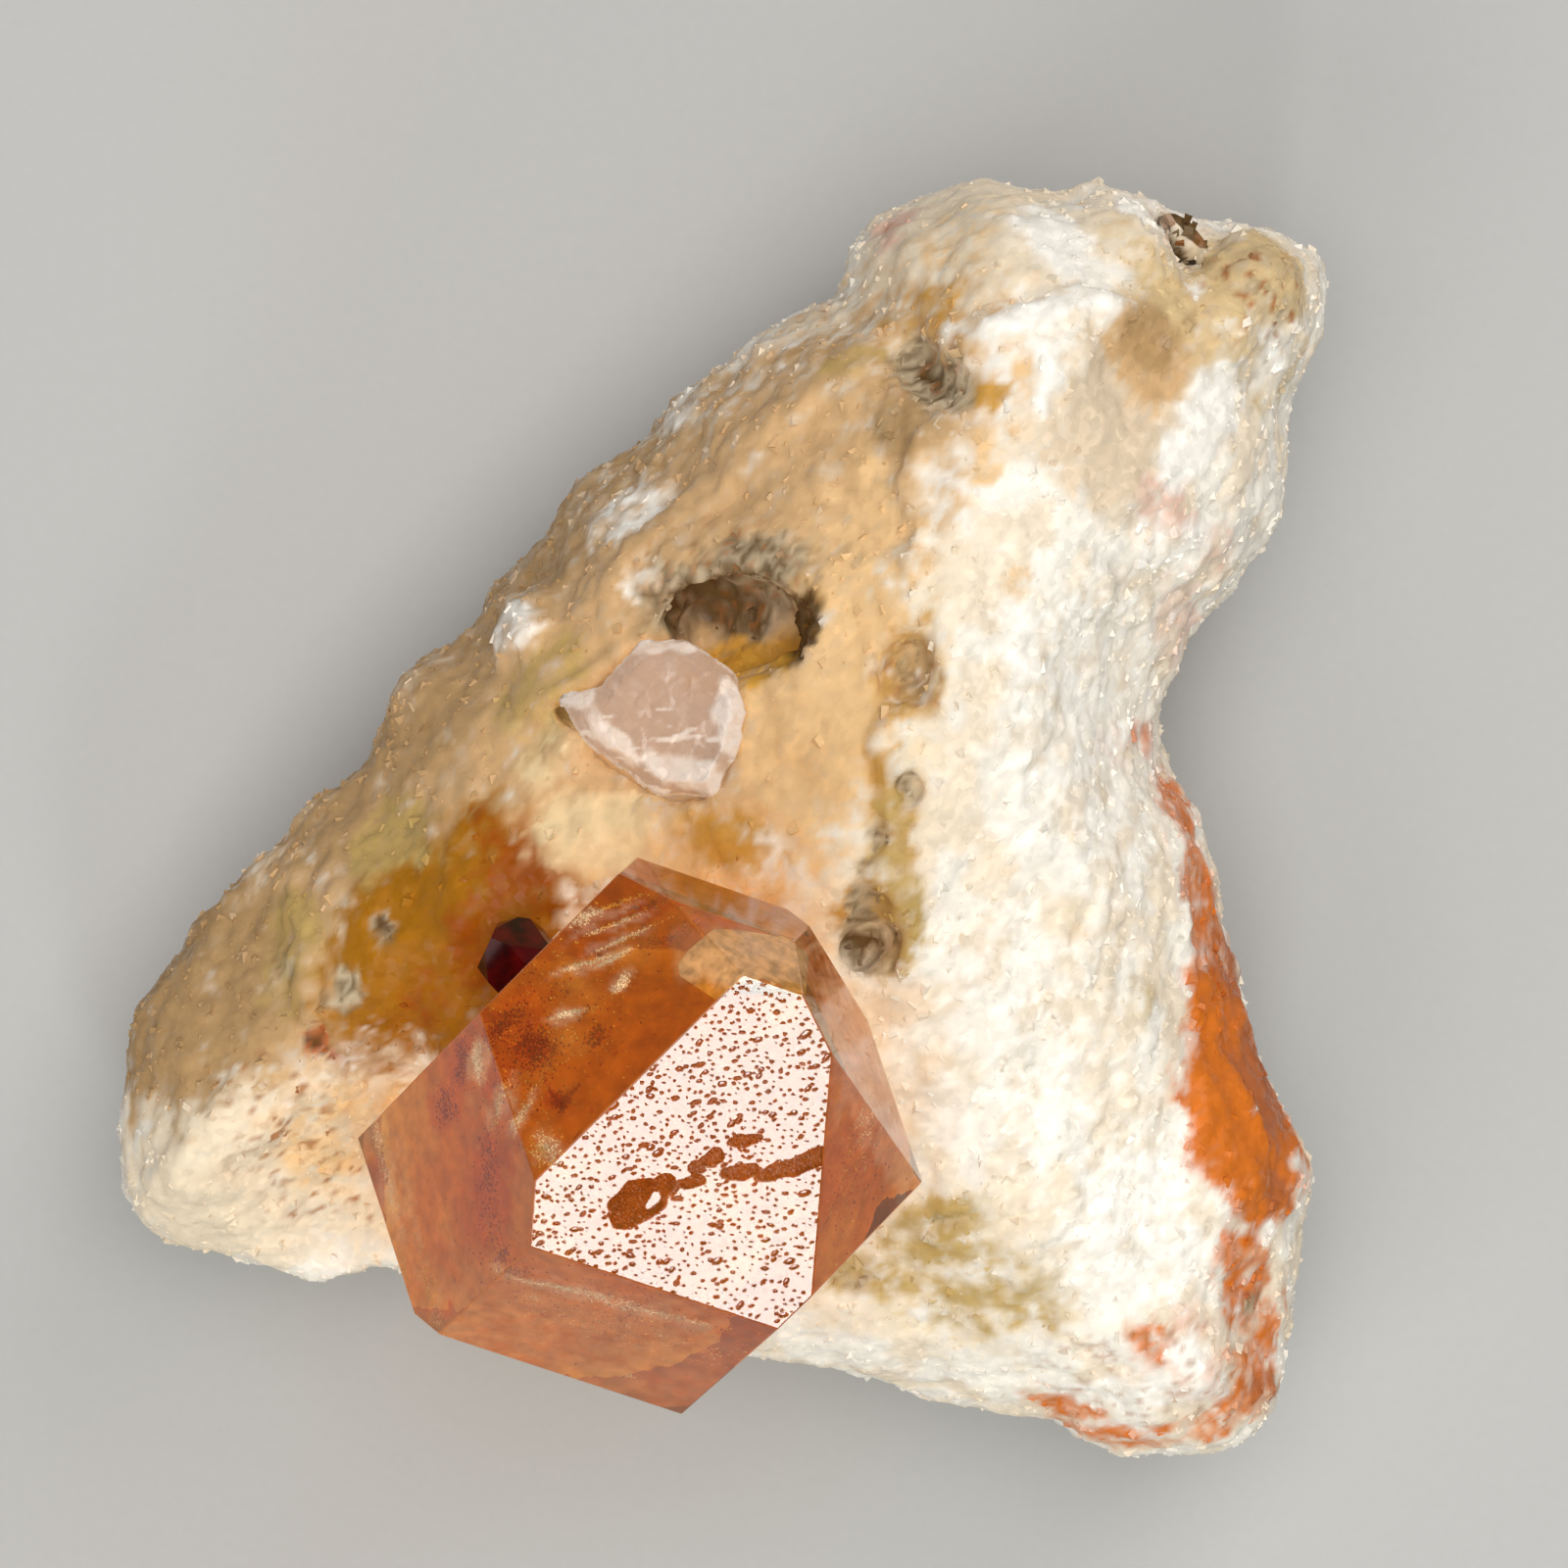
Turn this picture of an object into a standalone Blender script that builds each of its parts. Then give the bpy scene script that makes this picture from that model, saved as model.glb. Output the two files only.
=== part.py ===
"""Hematoid quartz: an orange crystal with flat faces, set in the crotch of a lump of massive quartz.

The specimen lies on its back on the flat underside of the matrix. +Z points up, out of its front.
"""
import math

import bmesh
import bpy
import numpy as np
from mathutils import Matrix, Vector, noise

MM = 0.001
GAP = 0.3 * MM

# Quartz: the angle between the long axis and a tip face's normal, and a prism face's
TIP_ANGLE = math.radians(51.79)
PRISM_ANGLE = math.radians(90.0)
END_ANGLE = math.pi - TIP_ANGLE
FLAT_TIP_ANGLE = math.radians(28.0)
CORNER_ANGLE = math.radians(66.0)

# Large crystal: its centre, how far its long axis tilts from upright and which way it leans
CRYSTAL_CENTRE = Vector((-4.0, -15.5, 30.0)) * MM
CRYSTAL_TILT = math.radians(32.35)
CRYSTAL_LEAN = math.radians(45.3)
CRYSTAL_SPIN = math.radians(-150.6)

# Large crystal's faces: angle from the long axis, place around it in degrees, distance in mm
CRYSTAL_FACES = (
    (TIP_ANGLE, 0, 9.35),
    (TIP_ANGLE, 60, 12.2),
    (TIP_ANGLE, 120, 12.1),
    (TIP_ANGLE, 180, 13.15),
    (TIP_ANGLE, 300, 10.9),
    (FLAT_TIP_ANGLE, 180, 15.55),
    (CORNER_ANGLE, 145, 12.3),
    (PRISM_ANGLE, 0, 9.3),
    (PRISM_ANGLE, 60, 11.5),
    (PRISM_ANGLE, 120, 11.5),
    (PRISM_ANGLE, 180, 9.8),
    (PRISM_ANGLE, 240, 9.6),
    (PRISM_ANGLE, 300, 9.15),
    (END_ANGLE, 0, 13.15),
    (END_ANGLE, 60, 15.0),
    (END_ANGLE, 120, 11.4),
    (END_ANGLE, 180, 11.0),
    (END_ANGLE, 240, 14.8),
    (END_ANGLE, 300, 14.25),
)

# Block that a crystal is split out of, larger than any crystal here
BLOCK_SIZE = 90.0 * MM

# Etched pits in the large crystal's bright front face: place on it, length, width in mm, turn.
# A pit one unit long and wide has these radii at its floor and as far above the face
BRIGHT_FACE = CRYSTAL_FACES[0]
PIT_DEPTH = 0.4 * MM
PIT_FLOOR_RADIUS = 0.34 * MM
PIT_TOP_RADIUS = 0.66 * MM
PIT_SIDES = 7
PITS = (
    (-0.6, 1.3, 2.7, 2.5, 20),
    (6.7, 3.1, 3.6, 0.9, 26),
    (4.1, 2.9, 1.5, 0.8, 10),
    (2.9, 3.7, 1.1, 0.7, 40),
    (4.3, 4.8, 1.0, 0.6, 5),
    (1.7, 2.5, 0.9, 0.8, 60),
)

# Small dark red crystal, a stub beside the large one's upper left prism face
RED_CENTRE = Vector((-9.9, -7.1, 25.4)) * MM
RED_TILT = math.radians(38.0)
RED_LEAN = math.radians(140.0)
RED_SPIN = math.radians(20.0)
RED_RADIUS = 1.75
RED_HALF_LENGTH = 3.4
RED_LARGE_TIP_SHARE = 0.86

# Clear grain: its outline in plan in mm, its thickness, and the rise of its top along X and Y
GRAIN_OUTLINE = (
    (-8.1, 5.9), (-5.9, 6.5), (-3.9, 8.7), (-1.7, 8.7), (0.7, 7.1), (1.3, 5.5),
    (0.7, 2.9), (-0.3, 1.1), (-3.0, 1.1), (-4.5, 2.2), (-6.6, 3.7),
)
GRAIN_CENTRE = Vector((-3.4, 4.9, 24.4)) * MM
GRAIN_THICKNESS = 5.0 * MM
GRAIN_BEVEL = 0.7 * MM
GRAIN_RISE = (0.3, -0.08)

# Matrix: its outline in plan, in mm, from the left end of the top edge, clockwise
MATRIX_OUTLINE = (
    (3.4, 25.3), (6.2, 26.5), (6.7, 28.8), (8.0, 30.7), (10.6, 31.6), (12.6, 32.4),
    (14.7, 32.1), (17.6, 31.0), (18.5, 32.0), (21.0, 31.6), (23.8, 30.2), (24.5, 28.9),
    (25.4, 30.1), (27.2, 30.1), (28.9, 29.4), (30.3, 28.6), (30.6, 27.8), (30.7, 25.4),
    (29.5, 22.0), (28.8, 20.7), (28.9, 18.0), (28.4, 15.1), (27.2, 13.9), (26.6, 12.2),
    (25.0, 10.6), (23.7, 9.4), (23.6, 8.2), (22.6, 7.2), (22.1, 4.7), (22.8, 1.9), (24.4, 0.1),
    (25.6, -3.0), (25.9, -6.6), (26.4, -9.3), (28.0, -12.7), (29.2, -16.0), (30.4, -19.2),
    (29.4, -20.8), (29.6, -22.0), (29.1, -23.8), (29.1, -25.4), (28.4, -27.0), (28.4, -29.4),
    (27.4, -31.2), (25.6, -32.3), (24.1, -32.4), (20.1, -32.4), (18.5, -31.9), (18.0, -30.7),
    (15.9, -30.3), (11.8, -29.6), (7.8, -29.0), (5.3, -28.3), (1.7, -27.7), (-2.5, -25.8),
    (-7.5, -24.2), (-12.5, -23.4), (-16.8, -22.7), (-19.0, -23.1), (-20.5, -24.0),
    (-21.8, -23.5), (-23.6, -22.9), (-25.6, -22.2), (-27.8, -22.3), (-29.7, -21.0),
    (-30.9, -19.0), (-30.9, -16.0), (-30.1, -13.0), (-29.7, -9.3), (-28.6, -8.5),
    (-28.4, -7.7), (-26.6, -5.3), (-23.9, -2.5), (-20.8, 0.4), (-18.4, 1.4), (-18.1, 2.3),
    (-16.7, 4.3), (-16.7, 6.2), (-15.0, 8.3), (-13.3, 8.5), (-12.1, 10.4), (-11.9, 11.5),
    (-9.6, 13.3), (-8.2, 15.1), (-7.0, 17.0), (-4.7, 18.1), (-3.2, 19.2), (-2.6, 20.6),
    (-1.4, 21.8), (0.5, 22.8), (1.1, 23.8),
)

# Matrix: levels of its widest band above the ground, how much the band wanders, and the depth of
# its rounded rims and how much the back one wanders, in mm
RIM_LOW = 9.0
RIM_HIGH = 13.0
RIM_WANDER = 3.0
RIM_WANDER_LENGTH = 14.0
FRONT_RIM = 8.0
BACK_RIM = 7.5
BACK_WANDER = 2.5

# Matrix front: broken surfaces. Each is the highest of its planes, given by a point in mm and the
# plane's rise along X and Y, and the front follows the lowest surface
RIDGE_TOP = 31.0
FRONT_SURFACES = {
    "upper left slope": (((9.5, 5.0, RIDGE_TOP), (0.43, -0.13)),),
    "right slope": (((9.5, 5.0, RIDGE_TOP), (-0.5, 0.12)),),
    "crotch under the crystal": (((9.5, -4.0, RIDGE_TOP), (0.42, 0.58)), ((0.0, 0.0, 20.0), (0.0, 0.0))),
    "front of the left lobe": (((-24.3, -12.9, 19.5), (-0.38, 0.62)), ((-14.0, -18.0, 16.0), (2.0, 0.5))),
}
PLANE_BLEND = 0.9

# Matrix back: chamfers that rise from the flat underside, each given like a front plane
BACK_CHAMFERS = {
    "under the left lobe": ((-21.0, -8.0, 0.0), (-0.55, 0.1)),
    "under the top end": ((10.0, 24.0, 0.0), (0.1, 0.6)),
    "under the right edge": ((22.0, 0.0, 0.0), (0.7, 0.0)),
    "under the upper left edge": ((-8.0, 8.0, 0.0), (-0.3, 0.5)),
}

# Lumps and hollows in the front: place, half length, half width, turn in degrees, height, all in mm
RELIEF = {
    "golden dome": (-14.6, -6.6, 6.2, 4.6, 35, 2.6),
    "rim knob": (-10.3, 9.6, 1.9, 1.3, 20, 1.5),
    "green shoulder": (-9.2, 5.6, 3.4, 2.2, -60, 0.9),
    "top lump": (19.8, 29.0, 3.6, 2.6, -20, 1.6),
    "crust tower": (26.3, 28.6, 1.8, 1.6, 0, 1.8),
    "crust lump": (28.6, 25.6, 2.8, 3.0, 10, 1.4),
    "bulge of the rust edge": (27.0, -15.2, 2.4, 5.4, 20, 1.6),
    "foot lump": (26.4, -28.2, 3.0, 2.4, 0, 1.5),
    "lobe swelling": (-25.0, -17.5, 4.4, 3.0, 25, 1.1),
    "middle swelling": (13.0, 6.0, 4.0, 7.0, 10, 0.8),
    "smooth hollow": (21.4, 21.6, 3.6, 3.2, 35, -1.5),
    "brown hollow": (19.6, 28.0, 1.6, 1.8, 0, -1.5),
    "side hollow": (-2.6, 17.6, 3.4, 1.8, 40, -0.8),
}

# Pockets with steep walls: place, half length, half width, turn in degrees, depth, all in mm
POCKETS = {
    "cavity": (0.8, 8.9, 4.1, 2.9, 8, 4.6),
    "grey pocket": (10.2, 22.1, 2.1, 1.6, -55, 1.5),
    "upper dirt pocket": (9.1, 7.2, 2.2, 1.2, 80, 1.7),
    "middle dirt pocket": (9.3, 1.3, 1.0, 0.7, 80, 1.2),
    "lower dirt pocket": (7.7, -1.2, 1.1, 0.5, 70, 1.0),
    "three cornered pocket": (7.3, -6.5, 1.7, 1.3, 0, 1.8),
    "its upper corner": (7.5, -4.6, 1.5, 0.8, 85, 1.5),
    "dark spot": (-16.4, -5.3, 0.8, 0.7, 0, 1.0),
    "cleft": (22.9, 28.2, 1.5, 0.7, -60, 4.5),
}
POCKET_WALL = 0.45

# Ledges: a broken edge from one point to another, and the drop on its right hand side, in mm
LEDGES = {
    "white ledge": ((20.5, 26.2), (11.6, 24.6), 1.1),
    "edge of the smooth patch": ((16.0, 24.4), (15.2, 18.6), 0.7),
    "ridge edge": ((8.6, 18.4), (8.9, 13.4), 0.6),
    "upper bar ledge": ((-0.5, 14.6), (5.0, 20.4), 0.8),
    "lobe step": ((-22.8, -4.2), (-20.4, -10.9), 1.0),
    "leg ledge": ((24.0, -13.0), (21.8, -25.0), 0.9),
    "foot step": ((10.5, -24.8), (16.5, -28.0), 0.8),
}
LEDGE_RUN = 4.0
LEDGE_EDGE = 0.35

# Roughness of the matrix: size of the lumps, height, and a seed for each octave, in mm
ROUGHNESS = ((7.0, 0.55, 3.0), (3.0, 0.38, 11.0), (1.5, 0.2, 29.0))
SLAB_THICKNESS = 20.0
COARSE_VOXEL = 0.8 * MM
FINE_VOXEL = 0.62 * MM
MATRIX_TRIANGLES = 7400
WELD_DISTANCE = 0.005 * MM

# Matrix: below this level lies its flat underside, and above this normal Z its front
BASE_LEVEL = 0.4 * MM
FRONT_NORMAL = 0.1


def clear_scene():
    for item in list(bpy.data.objects):
        bpy.data.objects.remove(item, do_unlink=True)


def new_collection(name):
    collection = bpy.data.collections.new(name)
    bpy.context.scene.collection.children.link(collection)
    return collection


def new_material(name, color, roughness):
    material = bpy.data.materials.new(name)
    material.use_nodes = True
    shader = material.node_tree.nodes["Principled BSDF"]
    shader.inputs["Base Color"].default_value = (*color, 1.0)
    shader.inputs["Roughness"].default_value = roughness
    shader.inputs["Metallic"].default_value = 0.0
    return material


def add_object(name, mesh, collection, material=None):
    item = bpy.data.objects.new(name, mesh)
    collection.objects.link(item)
    if material:
        mesh.materials.clear()
        mesh.materials.append(material)
    return item


def hide_cutter(item):
    item.hide_render = True
    item.display_type = "WIRE"


def evaluated_mesh(item):
    """A plain mesh of an object with its curve shape and modifiers worked out."""
    depsgraph = bpy.context.evaluated_depsgraph_get()
    return bpy.data.meshes.new_from_object(item.evaluated_get(depsgraph))


def face_normal(angle, around):
    turn = math.radians(around)
    return Vector((math.sin(angle) * math.cos(turn), math.sin(angle) * math.sin(turn), math.cos(angle)))


def crystal_turn(tilt, lean, spin):
    """Rotation that takes a crystal with an upright long axis to where it leans."""
    upright = Matrix.Rotation(spin, 3, "Z")
    tilted = Matrix.Rotation(tilt, 3, "Y") @ upright
    return Matrix.Rotation(lean, 3, "Z") @ tilted


def cut_by_plane(bm, point, normal):
    """Keep what lies behind a plane, and close the cut with one flat face."""
    geometry = bm.verts[:] + bm.edges[:] + bm.faces[:]
    cut = bmesh.ops.bisect_plane(bm, geom=geometry, plane_co=point, plane_no=normal, clear_outer=True)
    rim = [part for part in cut["geom_cut"] if isinstance(part, bmesh.types.BMEdge)]
    if rim:
        bmesh.ops.contextual_create(bm, geom=rim)


def crystal_mesh(name, centre, turn, faces, extra=0.0):
    """A crystal split out of a block by its faces, each pushed out by extra."""
    bm = bmesh.new()
    bmesh.ops.create_cube(bm, size=BLOCK_SIZE, matrix=Matrix.Translation(centre))
    for angle, around, distance in faces:
        normal = turn @ face_normal(angle, around)
        cut_by_plane(bm, centre + normal * (distance * MM + extra), normal)
    bmesh.ops.recalc_face_normals(bm, faces=bm.faces)
    mesh = bpy.data.meshes.new(name)
    bm.to_mesh(mesh)
    bm.free()
    return mesh


def pit_cutters(collection):
    """Shallow wedges that sink the etched pits into the bright face."""
    angle, around, distance = BRIGHT_FACE
    turn = crystal_turn(CRYSTAL_TILT, CRYSTAL_LEAN, CRYSTAL_SPIN)
    up = turn @ face_normal(angle, around)
    right = (Vector((1.0, 0.0, 0.0)) - up * up.x).normalized()
    ahead = up.cross(right)
    origin = CRYSTAL_CENTRE + up * distance * MM
    bm = bmesh.new()
    for across, along, length, width, degrees in PITS:
        heading = math.radians(degrees)
        long_way = right * math.cos(heading) + ahead * math.sin(heading)
        wide_way = up.cross(long_way)
        frame = Matrix((long_way * length, wide_way * width, up)).transposed().to_4x4()
        frame.translation = origin + right * across * MM + ahead * along * MM
        bmesh.ops.create_cone(
            bm, segments=PIT_SIDES, cap_ends=True, radius1=PIT_FLOOR_RADIUS,
            radius2=PIT_TOP_RADIUS, depth=2.0 * PIT_DEPTH, matrix=frame,
        )
    mesh = bpy.data.meshes.new("pits")
    bm.to_mesh(mesh)
    bm.free()
    cutter = add_object("pits", mesh, collection)
    hide_cutter(cutter)
    return cutter


def subtract(item, cutter):
    boolean = item.modifiers.new("less " + cutter.name, "BOOLEAN")
    boolean.operation = "DIFFERENCE"
    boolean.solver = "EXACT"
    boolean.object = cutter


def red_faces():
    """The small crystal's faces: six on the prism and six at each end."""
    faces = []
    for around in range(0, 360, 60):
        is_large = around % 120 == 0
        end_distance = RED_HALF_LENGTH * math.cos(TIP_ANGLE) * (RED_LARGE_TIP_SHARE if is_large else 1.0)
        faces.append((PRISM_ANGLE, around, RED_RADIUS))
        faces.append((TIP_ANGLE, around, end_distance))
        faces.append((END_ANGLE, around, end_distance))
    return faces


def flat_outline(name, points, thickness, offset=0.0):
    """A closed outline in plan, filled and thickened, as a mesh with its caps welded."""
    curve = bpy.data.curves.new(name, "CURVE")
    curve.dimensions = "2D"
    curve.fill_mode = "BOTH"
    curve.extrude = thickness / 2.0
    curve.offset = offset
    spline = curve.splines.new("POLY")
    spline.points.add(len(points) - 1)
    for point, (x, y) in zip(spline.points, points):
        point.co = (x * MM, y * MM, 0.0, 1.0)
    spline.use_cyclic_u = True
    holder = bpy.data.objects.new(name + " outline", curve)
    bpy.context.scene.collection.objects.link(holder)
    mesh = evaluated_mesh(holder)
    bpy.data.objects.remove(holder)
    bm = bmesh.new()
    bm.from_mesh(mesh)
    bmesh.ops.remove_doubles(bm, verts=bm.verts, dist=WELD_DISTANCE)
    bmesh.ops.recalc_face_normals(bm, faces=bm.faces)
    bm.to_mesh(mesh)
    bm.free()
    return mesh


def grain_mesh(extra=0.0):
    """The clear grain: a tilted plate with bevelled top edges, pushed out by extra."""
    middle = [(x - GRAIN_CENTRE.x / MM, y - GRAIN_CENTRE.y / MM) for x, y in GRAIN_OUTLINE]
    mesh = flat_outline("clear_quartz_grain", middle, GRAIN_THICKNESS + 2.0 * extra, extra)
    bm = bmesh.new()
    bm.from_mesh(mesh)
    top = [edge for edge in bm.edges if all(vert.co.z > 0.0 for vert in edge.verts)]
    rim = [edge for edge in top if any(abs(face.normal.z) < 0.5 for face in edge.link_faces)]
    bmesh.ops.bevel(
        bm, geom=rim, offset=GRAIN_BEVEL, affect="EDGES", segments=1, profile=0.5, material=-1,
    )
    slant = Matrix.Identity(4)
    slant[2][0], slant[2][1] = GRAIN_RISE
    bmesh.ops.transform(bm, matrix=Matrix.Translation(GRAIN_CENTRE) @ slant, verts=bm.verts)
    bm.to_mesh(mesh)
    bm.free()
    return mesh


def outline_distance(plan):
    """Distance in mm from each point in plan to the nearest stretch of the matrix's outline."""
    starts = np.array(MATRIX_OUTLINE)
    sides = np.roll(starts, -1, axis=0) - starts
    apart = plan[:, None, :] - starts[None, :, :]
    share = np.clip((apart * sides).sum(axis=2) / (sides ** 2).sum(axis=1), 0.0, 1.0)
    nearest = apart - share[:, :, None] * sides
    return np.sqrt((nearest ** 2).sum(axis=2).min(axis=1))


def round_rim(distance, depth):
    """0 at the outline, rising as a quarter circle to 1 at the rim's depth and beyond."""
    share = np.clip(distance / depth, 0.0, 1.0)
    return np.sqrt(1.0 - (1.0 - share) ** 2)


def oval_reach(plan, x, y, half_length, half_width, degrees):
    """How far each point in plan is from an oval's centre, where 1 is on the oval."""
    heading = math.radians(degrees)
    across = plan[:, 0] - x
    along = plan[:, 1] - y
    long_way = across * math.cos(heading) + along * math.sin(heading)
    wide_way = along * math.cos(heading) - across * math.sin(heading)
    return np.hypot(long_way / half_length, wide_way / half_width)


def plane_level(plan, plane):
    (x, y, z), (rise_x, rise_y) = plane
    return z + rise_x * (plan[:, 0] - x) + rise_y * (plan[:, 1] - y)


def front_height(plan):
    """Height of the matrix's front in mm: the lowest of its broken surfaces, with lumps on it."""
    total = np.zeros(len(plan))
    for planes in FRONT_SURFACES.values():
        level = np.max([plane_level(plan, plane) for plane in planes], axis=0)
        total += np.exp(-PLANE_BLEND * level)
    height = -np.log(total) / PLANE_BLEND
    for x, y, half_length, half_width, degrees, rise in RELIEF.values():
        reach = oval_reach(plan, x, y, half_length, half_width, degrees)
        height += rise * np.exp(-reach ** 2)
    return height


def rim_wander(plan, level):
    """A slow wander over the plan, between about -1 and 1, different at each level."""
    places = [Vector((x, y, level)) / RIM_WANDER_LENGTH for x, y in plan]
    return np.array([noise.noise(place) for place in places])


def pocket_depth(plan):
    """How far the pockets sink the front, in mm, with steep walls and rounded floors."""
    depth = np.zeros(len(plan))
    for x, y, half_length, half_width, degrees, deepest in POCKETS.values():
        reach = oval_reach(plan, x, y, half_length, half_width, degrees)
        wall = np.clip((1.0 - reach) / POCKET_WALL, 0.0, 1.0)
        depth = np.maximum(depth, deepest * wall * wall * (3.0 - 2.0 * wall))
    return depth


def ledge_drop(plan):
    """How far the front drops beside its ledges, in mm, sharply at the edge and fading away."""
    drop = np.zeros(len(plan))
    for start, end, height in LEDGES.values():
        along = np.subtract(end, start)
        length = np.hypot(*along)
        along = along / length
        apart = plan - start
        travel = apart @ along
        past_end = np.maximum(np.maximum(-travel, travel - length), 0.0)
        beside = apart[:, 0] * along[1] - apart[:, 1] * along[0]
        edge = 1.0 / (1.0 + np.exp(-beside / LEDGE_EDGE))
        fade = np.exp(-np.maximum(beside, 0.0) / LEDGE_RUN - past_end)
        drop += height * edge * fade
    return drop


def read_points(mesh):
    points = np.empty(len(mesh.vertices) * 3)
    mesh.vertices.foreach_get("co", points)
    return points.reshape(-1, 3)


def write_points(mesh, points):
    mesh.vertices.foreach_set("co", points.ravel())
    mesh.update()


def shape_matrix(mesh):
    """Take a flat slab of the outline to the matrix's front, rounded rims and flat underside."""
    points = read_points(mesh)
    plan = points[:, :2] / MM
    distance = outline_distance(plan)
    share = np.clip(points[:, 2] / (SLAB_THICKNESS * MM) + 0.5, 0.0, 1.0)
    wander = RIM_WANDER * rim_wander(plan, 0.0)
    back_distance = distance + BACK_WANDER * rim_wander(plan, RIM_LOW)
    rim_high = RIM_HIGH + wander
    rim_low = RIM_LOW + wander
    front = rim_high + (front_height(plan) - rim_high) * round_rim(distance, FRONT_RIM)
    back = rim_low * (1.0 - round_rim(back_distance, BACK_RIM))
    for plane in BACK_CHAMFERS.values():
        back = np.maximum(back, np.minimum(plane_level(plan, plane), rim_low))
    points[:, 2] = (back + (front - back) * share) * MM
    write_points(mesh, points)


def roughen_matrix(mesh):
    """Push the surface in and out by the rock's lumps, sink the pockets, keep the underside flat."""
    points = read_points(mesh)
    normals = np.array([vertex.normal[:] for vertex in mesh.vertices])
    rough = np.zeros(len(points))
    for size, height, seed in ROUGHNESS:
        for index, point in enumerate(points):
            place = Vector(point / (size * MM)) + Vector((seed, seed, seed))
            rough[index] += height * noise.noise(place)
    is_base = points[:, 2] < BASE_LEVEL
    is_front = normals[:, 2] > FRONT_NORMAL
    rough[is_base] = 0.0
    points += normals * rough[:, None] * MM
    plan = points[:, :2] / MM
    points[:, 2] -= np.where(is_front, pocket_depth(plan) + ledge_drop(plan), 0.0) * MM
    points[:, 2] = np.where(is_base, 0.0, np.maximum(points[:, 2], 0.0))
    write_points(mesh, points)


def flatten_underside(mesh):
    """Take every point next to the ground exactly down to it."""
    points = read_points(mesh)
    points[points[:, 2] < BASE_LEVEL, 2] = 0.0
    write_points(mesh, points)


def apply_modifiers(item):
    """Give an object the mesh that its modifiers make, and drop the modifiers."""
    mesh = evaluated_mesh(item)
    item.modifiers.clear()
    item.data = mesh
    return mesh


def remeshed(item, voxel):
    """Replace an object's mesh by an even one of the same shape."""
    remesh = item.modifiers.new("even mesh", "REMESH")
    remesh.mode = "VOXEL"
    remesh.voxel_size = voxel
    return apply_modifiers(item)


def build_matrix(collection, material, cutters):
    """The massive quartz: outline, thickness, broken front, roughness, then the crystals' sockets."""
    slab = flat_outline("matrix", MATRIX_OUTLINE, SLAB_THICKNESS * MM)
    item = add_object("matrix", slab, collection)
    shape_matrix(remeshed(item, COARSE_VOXEL))
    roughen_matrix(remeshed(item, FINE_VOXEL))
    decimate = item.modifiers.new("fewer triangles", "DECIMATE")
    decimate.ratio = MATRIX_TRIANGLES / (2.0 * len(item.data.polygons))
    flatten_underside(apply_modifiers(item))
    item.data.materials.clear()
    item.data.materials.append(material)
    for cutter in cutters:
        subtract(item, cutter)
    return item


def stand_on_origin(items):
    """Move the whole specimen so that the middle of its base box is at the origin."""
    bpy.context.view_layer.update()
    depsgraph = bpy.context.evaluated_depsgraph_get()
    corners = []
    for item in items:
        shown = item.evaluated_get(depsgraph)
        corners += [shown.matrix_world @ Vector(corner) for corner in shown.bound_box]
    low = Vector([min(corner[axis] for corner in corners) for axis in range(3)])
    high = Vector([max(corner[axis] for corner in corners) for axis in range(3)])
    holder = bpy.data.objects.new("specimen", None)
    bpy.context.scene.collection.objects.link(holder)
    holder.location = (-(low.x + high.x) / 2.0, -(low.y + high.y) / 2.0, -low.z)
    for item in items:
        item.parent = holder


def main():
    clear_scene()
    parts = new_collection("hematoid quartz")
    guides = new_collection("cutters")
    rock = new_material("massive quartz", (0.78, 0.66, 0.5), 0.6)
    amber = new_material("hematoid quartz", (0.62, 0.22, 0.06), 0.12)
    dark_red = new_material("dark red quartz", (0.22, 0.03, 0.02), 0.2)
    clear = new_material("clear quartz", (0.8, 0.72, 0.66), 0.15)

    turn = crystal_turn(CRYSTAL_TILT, CRYSTAL_LEAN, CRYSTAL_SPIN)
    crystal = add_object(
        "hematoid_quartz_crystal",
        crystal_mesh("hematoid_quartz_crystal", CRYSTAL_CENTRE, turn, CRYSTAL_FACES),
        parts, amber,
    )
    subtract(crystal, pit_cutters(guides))
    crystal_socket = add_object(
        "crystal socket",
        crystal_mesh("crystal socket", CRYSTAL_CENTRE, turn, CRYSTAL_FACES, GAP),
        guides,
    )

    red_turn = crystal_turn(RED_TILT, RED_LEAN, RED_SPIN)
    red = add_object(
        "dark_red_crystal",
        crystal_mesh("dark_red_crystal", RED_CENTRE, red_turn, red_faces()),
        parts, dark_red,
    )
    subtract(red, crystal_socket)
    red_socket = add_object(
        "red socket",
        crystal_mesh("red socket", RED_CENTRE, red_turn, red_faces(), GAP),
        guides,
    )

    grain = add_object("clear_quartz_grain", grain_mesh(), parts, clear)
    grain_socket = add_object("grain socket", grain_mesh(GAP), guides)

    sockets = (crystal_socket, red_socket, grain_socket)
    for socket in sockets:
        hide_cutter(socket)
    matrix = build_matrix(parts, rock, sockets)
    stand_on_origin((matrix, crystal, red, grain))


main()
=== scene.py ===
# %% [markdown]
# Hematoid quartz: an orange crystal with flat faces sits in the crotch of a lump of massive
# quartz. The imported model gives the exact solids. This script gives them their finish: the
# sugary broken surface of the lump, its stains, and the clear body and etched face of the crystal.

# %% Load the fixed frame
import math

import bmesh
import bpy
import numpy as np
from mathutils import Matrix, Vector, noise
from mathutils.bvhtree import BVHTree


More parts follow.
